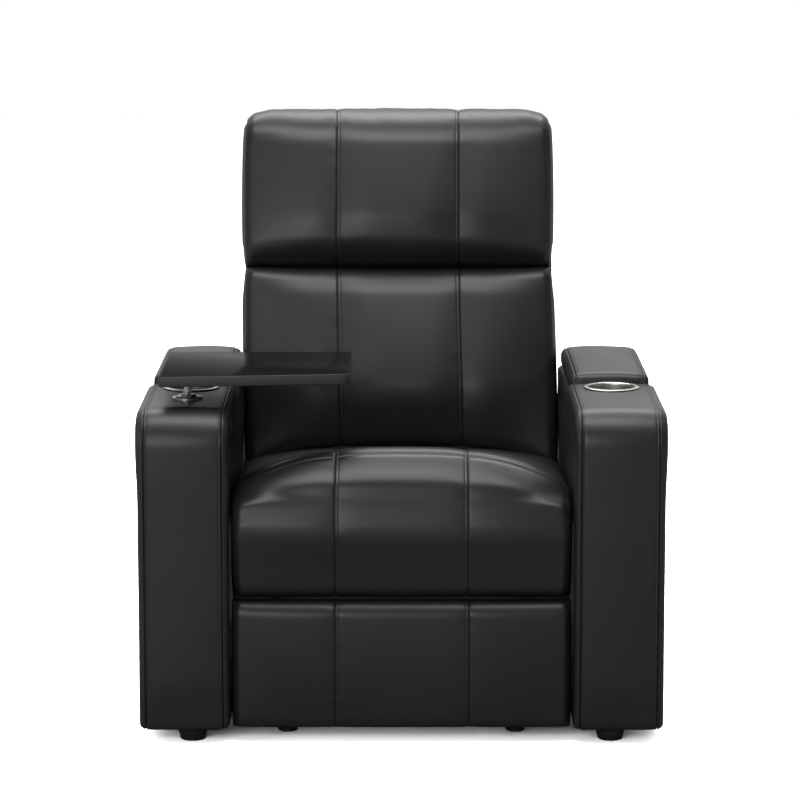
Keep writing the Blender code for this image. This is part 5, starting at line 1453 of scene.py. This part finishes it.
class RECLINER_OT_stage(bpy.types.Operator):
    """Sets up the floor, the lights, the surround and the camera"""

    bl_idname = 'recliner.stage'
    bl_label = 'Stage'

    def execute(self, context):
        scene = context.scene
        make_materials()
        self.floor()
        self.surround(scene)
        for name, (place, target, size, power) in SOFTBOXES.items():
            self.softbox(name, place, target, size, getattr(looks(), power))
        camera = bpy.data.objects.new('camera', bpy.data.cameras.new('camera'))
        scene.collection.objects.link(camera)
        for setting, value in CAMERA.items():
            setattr(camera.data, setting, value)
        camera.location = CAMERA_PLACE
        camera.rotation_euler = (CAMERA_TILT, 0, 0)
        scene.camera = camera
        scene.view_settings.view_transform = 'Standard'
        return {'FINISHED'}

    def floor(self):
        """A light floor, whiter to the camera so that it runs into the backdrop. For reflections and bounced
        light it is darker near the chair, a painted shade that fades out by five metres.
        """
        mesh = bpy.data.meshes.new('floor')
        corners = ((-1, -1), (1, -1), (1, 1), (-1, 1))
        mesh.from_pydata([(x * FLOOR_REACH, y * FLOOR_REACH, 0) for x, y in corners], [], [(0, 1, 2, 3)])
        floor = bpy.data.objects.new('floor', mesh)
        bpy.context.scene.collection.objects.link(floor)
        material = bpy.data.materials.new('Pale floor')
        material.use_nodes = True
        tree = material.node_tree
        tree.nodes.clear()
        path = add(tree, 'ShaderNodeLightPath')
        shader = add(tree, 'ShaderNodeBsdfDiffuse')
        away = placed(tree, 'ShaderNodeVectorMath', {0: piece_coordinates(tree)}, operation='LENGTH')
        # painted shade: for reflections and bounced light the floor is dark near the chair and lighter far
        # away
        far = remap(tree, away.outputs['Value'], 0.6, 5.0, 0.0, 1.0)
        floor_painted_shade = mix_colours(tree, far, (0.24, 0.24, 0.24, 1), (0.90, 0.90, 0.90, 1))
        colour = mix_colours(tree, path.outputs['Is Camera Ray'], floor_painted_shade, (4.8, 4.8, 4.8, 1))
        feed(tree, shader.inputs['Color'], colour)
        placed(tree, 'ShaderNodeOutputMaterial', {'Surface': shader.outputs[0]})
        mesh.materials.append(material)

    def surround(self, scene):
        """A white surround to the camera, and a softer graded one for the light."""
        world = bpy.data.worlds.new('surround')
        scene.world = world
        world.use_nodes = True
        tree = world.node_tree
        back = tree.nodes['Background']
        path = add(tree, 'ShaderNodeLightPath')
        x, y, z = split(tree, add(tree, 'ShaderNodeTexCoord').outputs['Generated'])
        shade = calculate(tree, 'MULTIPLY', remap(tree, y, -0.6, 0.8, 0.28, 0.85),
                          remap(tree, z, -0.25, 0.35, 0.55, 1.0))
        shade = calculate(tree, 'MULTIPLY', shade,
                          remap(tree, calculate(tree, 'ABSOLUTE', x), 0.35, 0.9, 1.0, 0.45))
        feed(tree, back.inputs['Color'],
             mix_colours(tree, path.outputs['Is Camera Ray'], grey(tree, shade), (1, 1, 1, 1)))

    def softbox(self, name, place, target, size, power):
        """An area light that looks at its target."""
        data = bpy.data.lights.new(name, 'AREA')
        data.shape = 'RECTANGLE'
        data.size, data.size_y = size
        data.energy = power
        data.color = LIGHT_COLOUR
        lamp = bpy.data.objects.new(name, data)
        bpy.context.scene.collection.objects.link(lamp)
        lamp.location = place
        lamp.visible_camera = False
        lamp.rotation_euler = (Vector(target) - Vector(place)).to_track_quat('-Z', 'Y').to_euler()


class RECLINER_PT_panel(bpy.types.Panel):
    """Lists the steps and the settings"""

    bl_label = 'Power Recliner'
    bl_idname = 'RECLINER_PT_panel'
    bl_space_type = 'VIEW_3D'
    bl_region_type = 'UI'
    bl_category = 'Recliner'

    def draw(self, context):
        for kind in OPERATORS:
            self.layout.operator(kind.bl_idname)
        for name in ReclinerLooks.__annotations__:
            self.layout.prop(context.scene.recliner_looks, name)


OPERATORS = (
    RECLINER_OT_stage, RECLINER_OT_arms, RECLINER_OT_arm_seams, RECLINER_OT_lids, RECLINER_OT_seat_cushion,
    RECLINER_OT_footrest_pad, RECLINER_OT_back_pillows, RECLINER_OT_back_cover, RECLINER_OT_cup_holders,
    RECLINER_OT_tray, RECLINER_OT_feet, RECLINER_OT_switch, RECLINER_OT_mechanism,
)
CLASSES = (ReclinerLooks, *OPERATORS, RECLINER_PT_panel)


def register():
    """Registers the classes and the settings."""
    for kind in CLASSES:
        bpy.utils.register_class(kind)
    bpy.types.Scene.recliner_looks = PointerProperty(type=ReclinerLooks)


def unregister():
    """Takes the classes and the settings away again."""
    del bpy.types.Scene.recliner_looks
    for kind in reversed(CLASSES):
        bpy.utils.unregister_class(kind)


def main():
    """Builds everything."""
    register()
    for kind in OPERATORS:
        getattr(bpy.ops.recliner, kind.bl_idname.split('.')[1])()


if __name__ == '__main__':
    main()
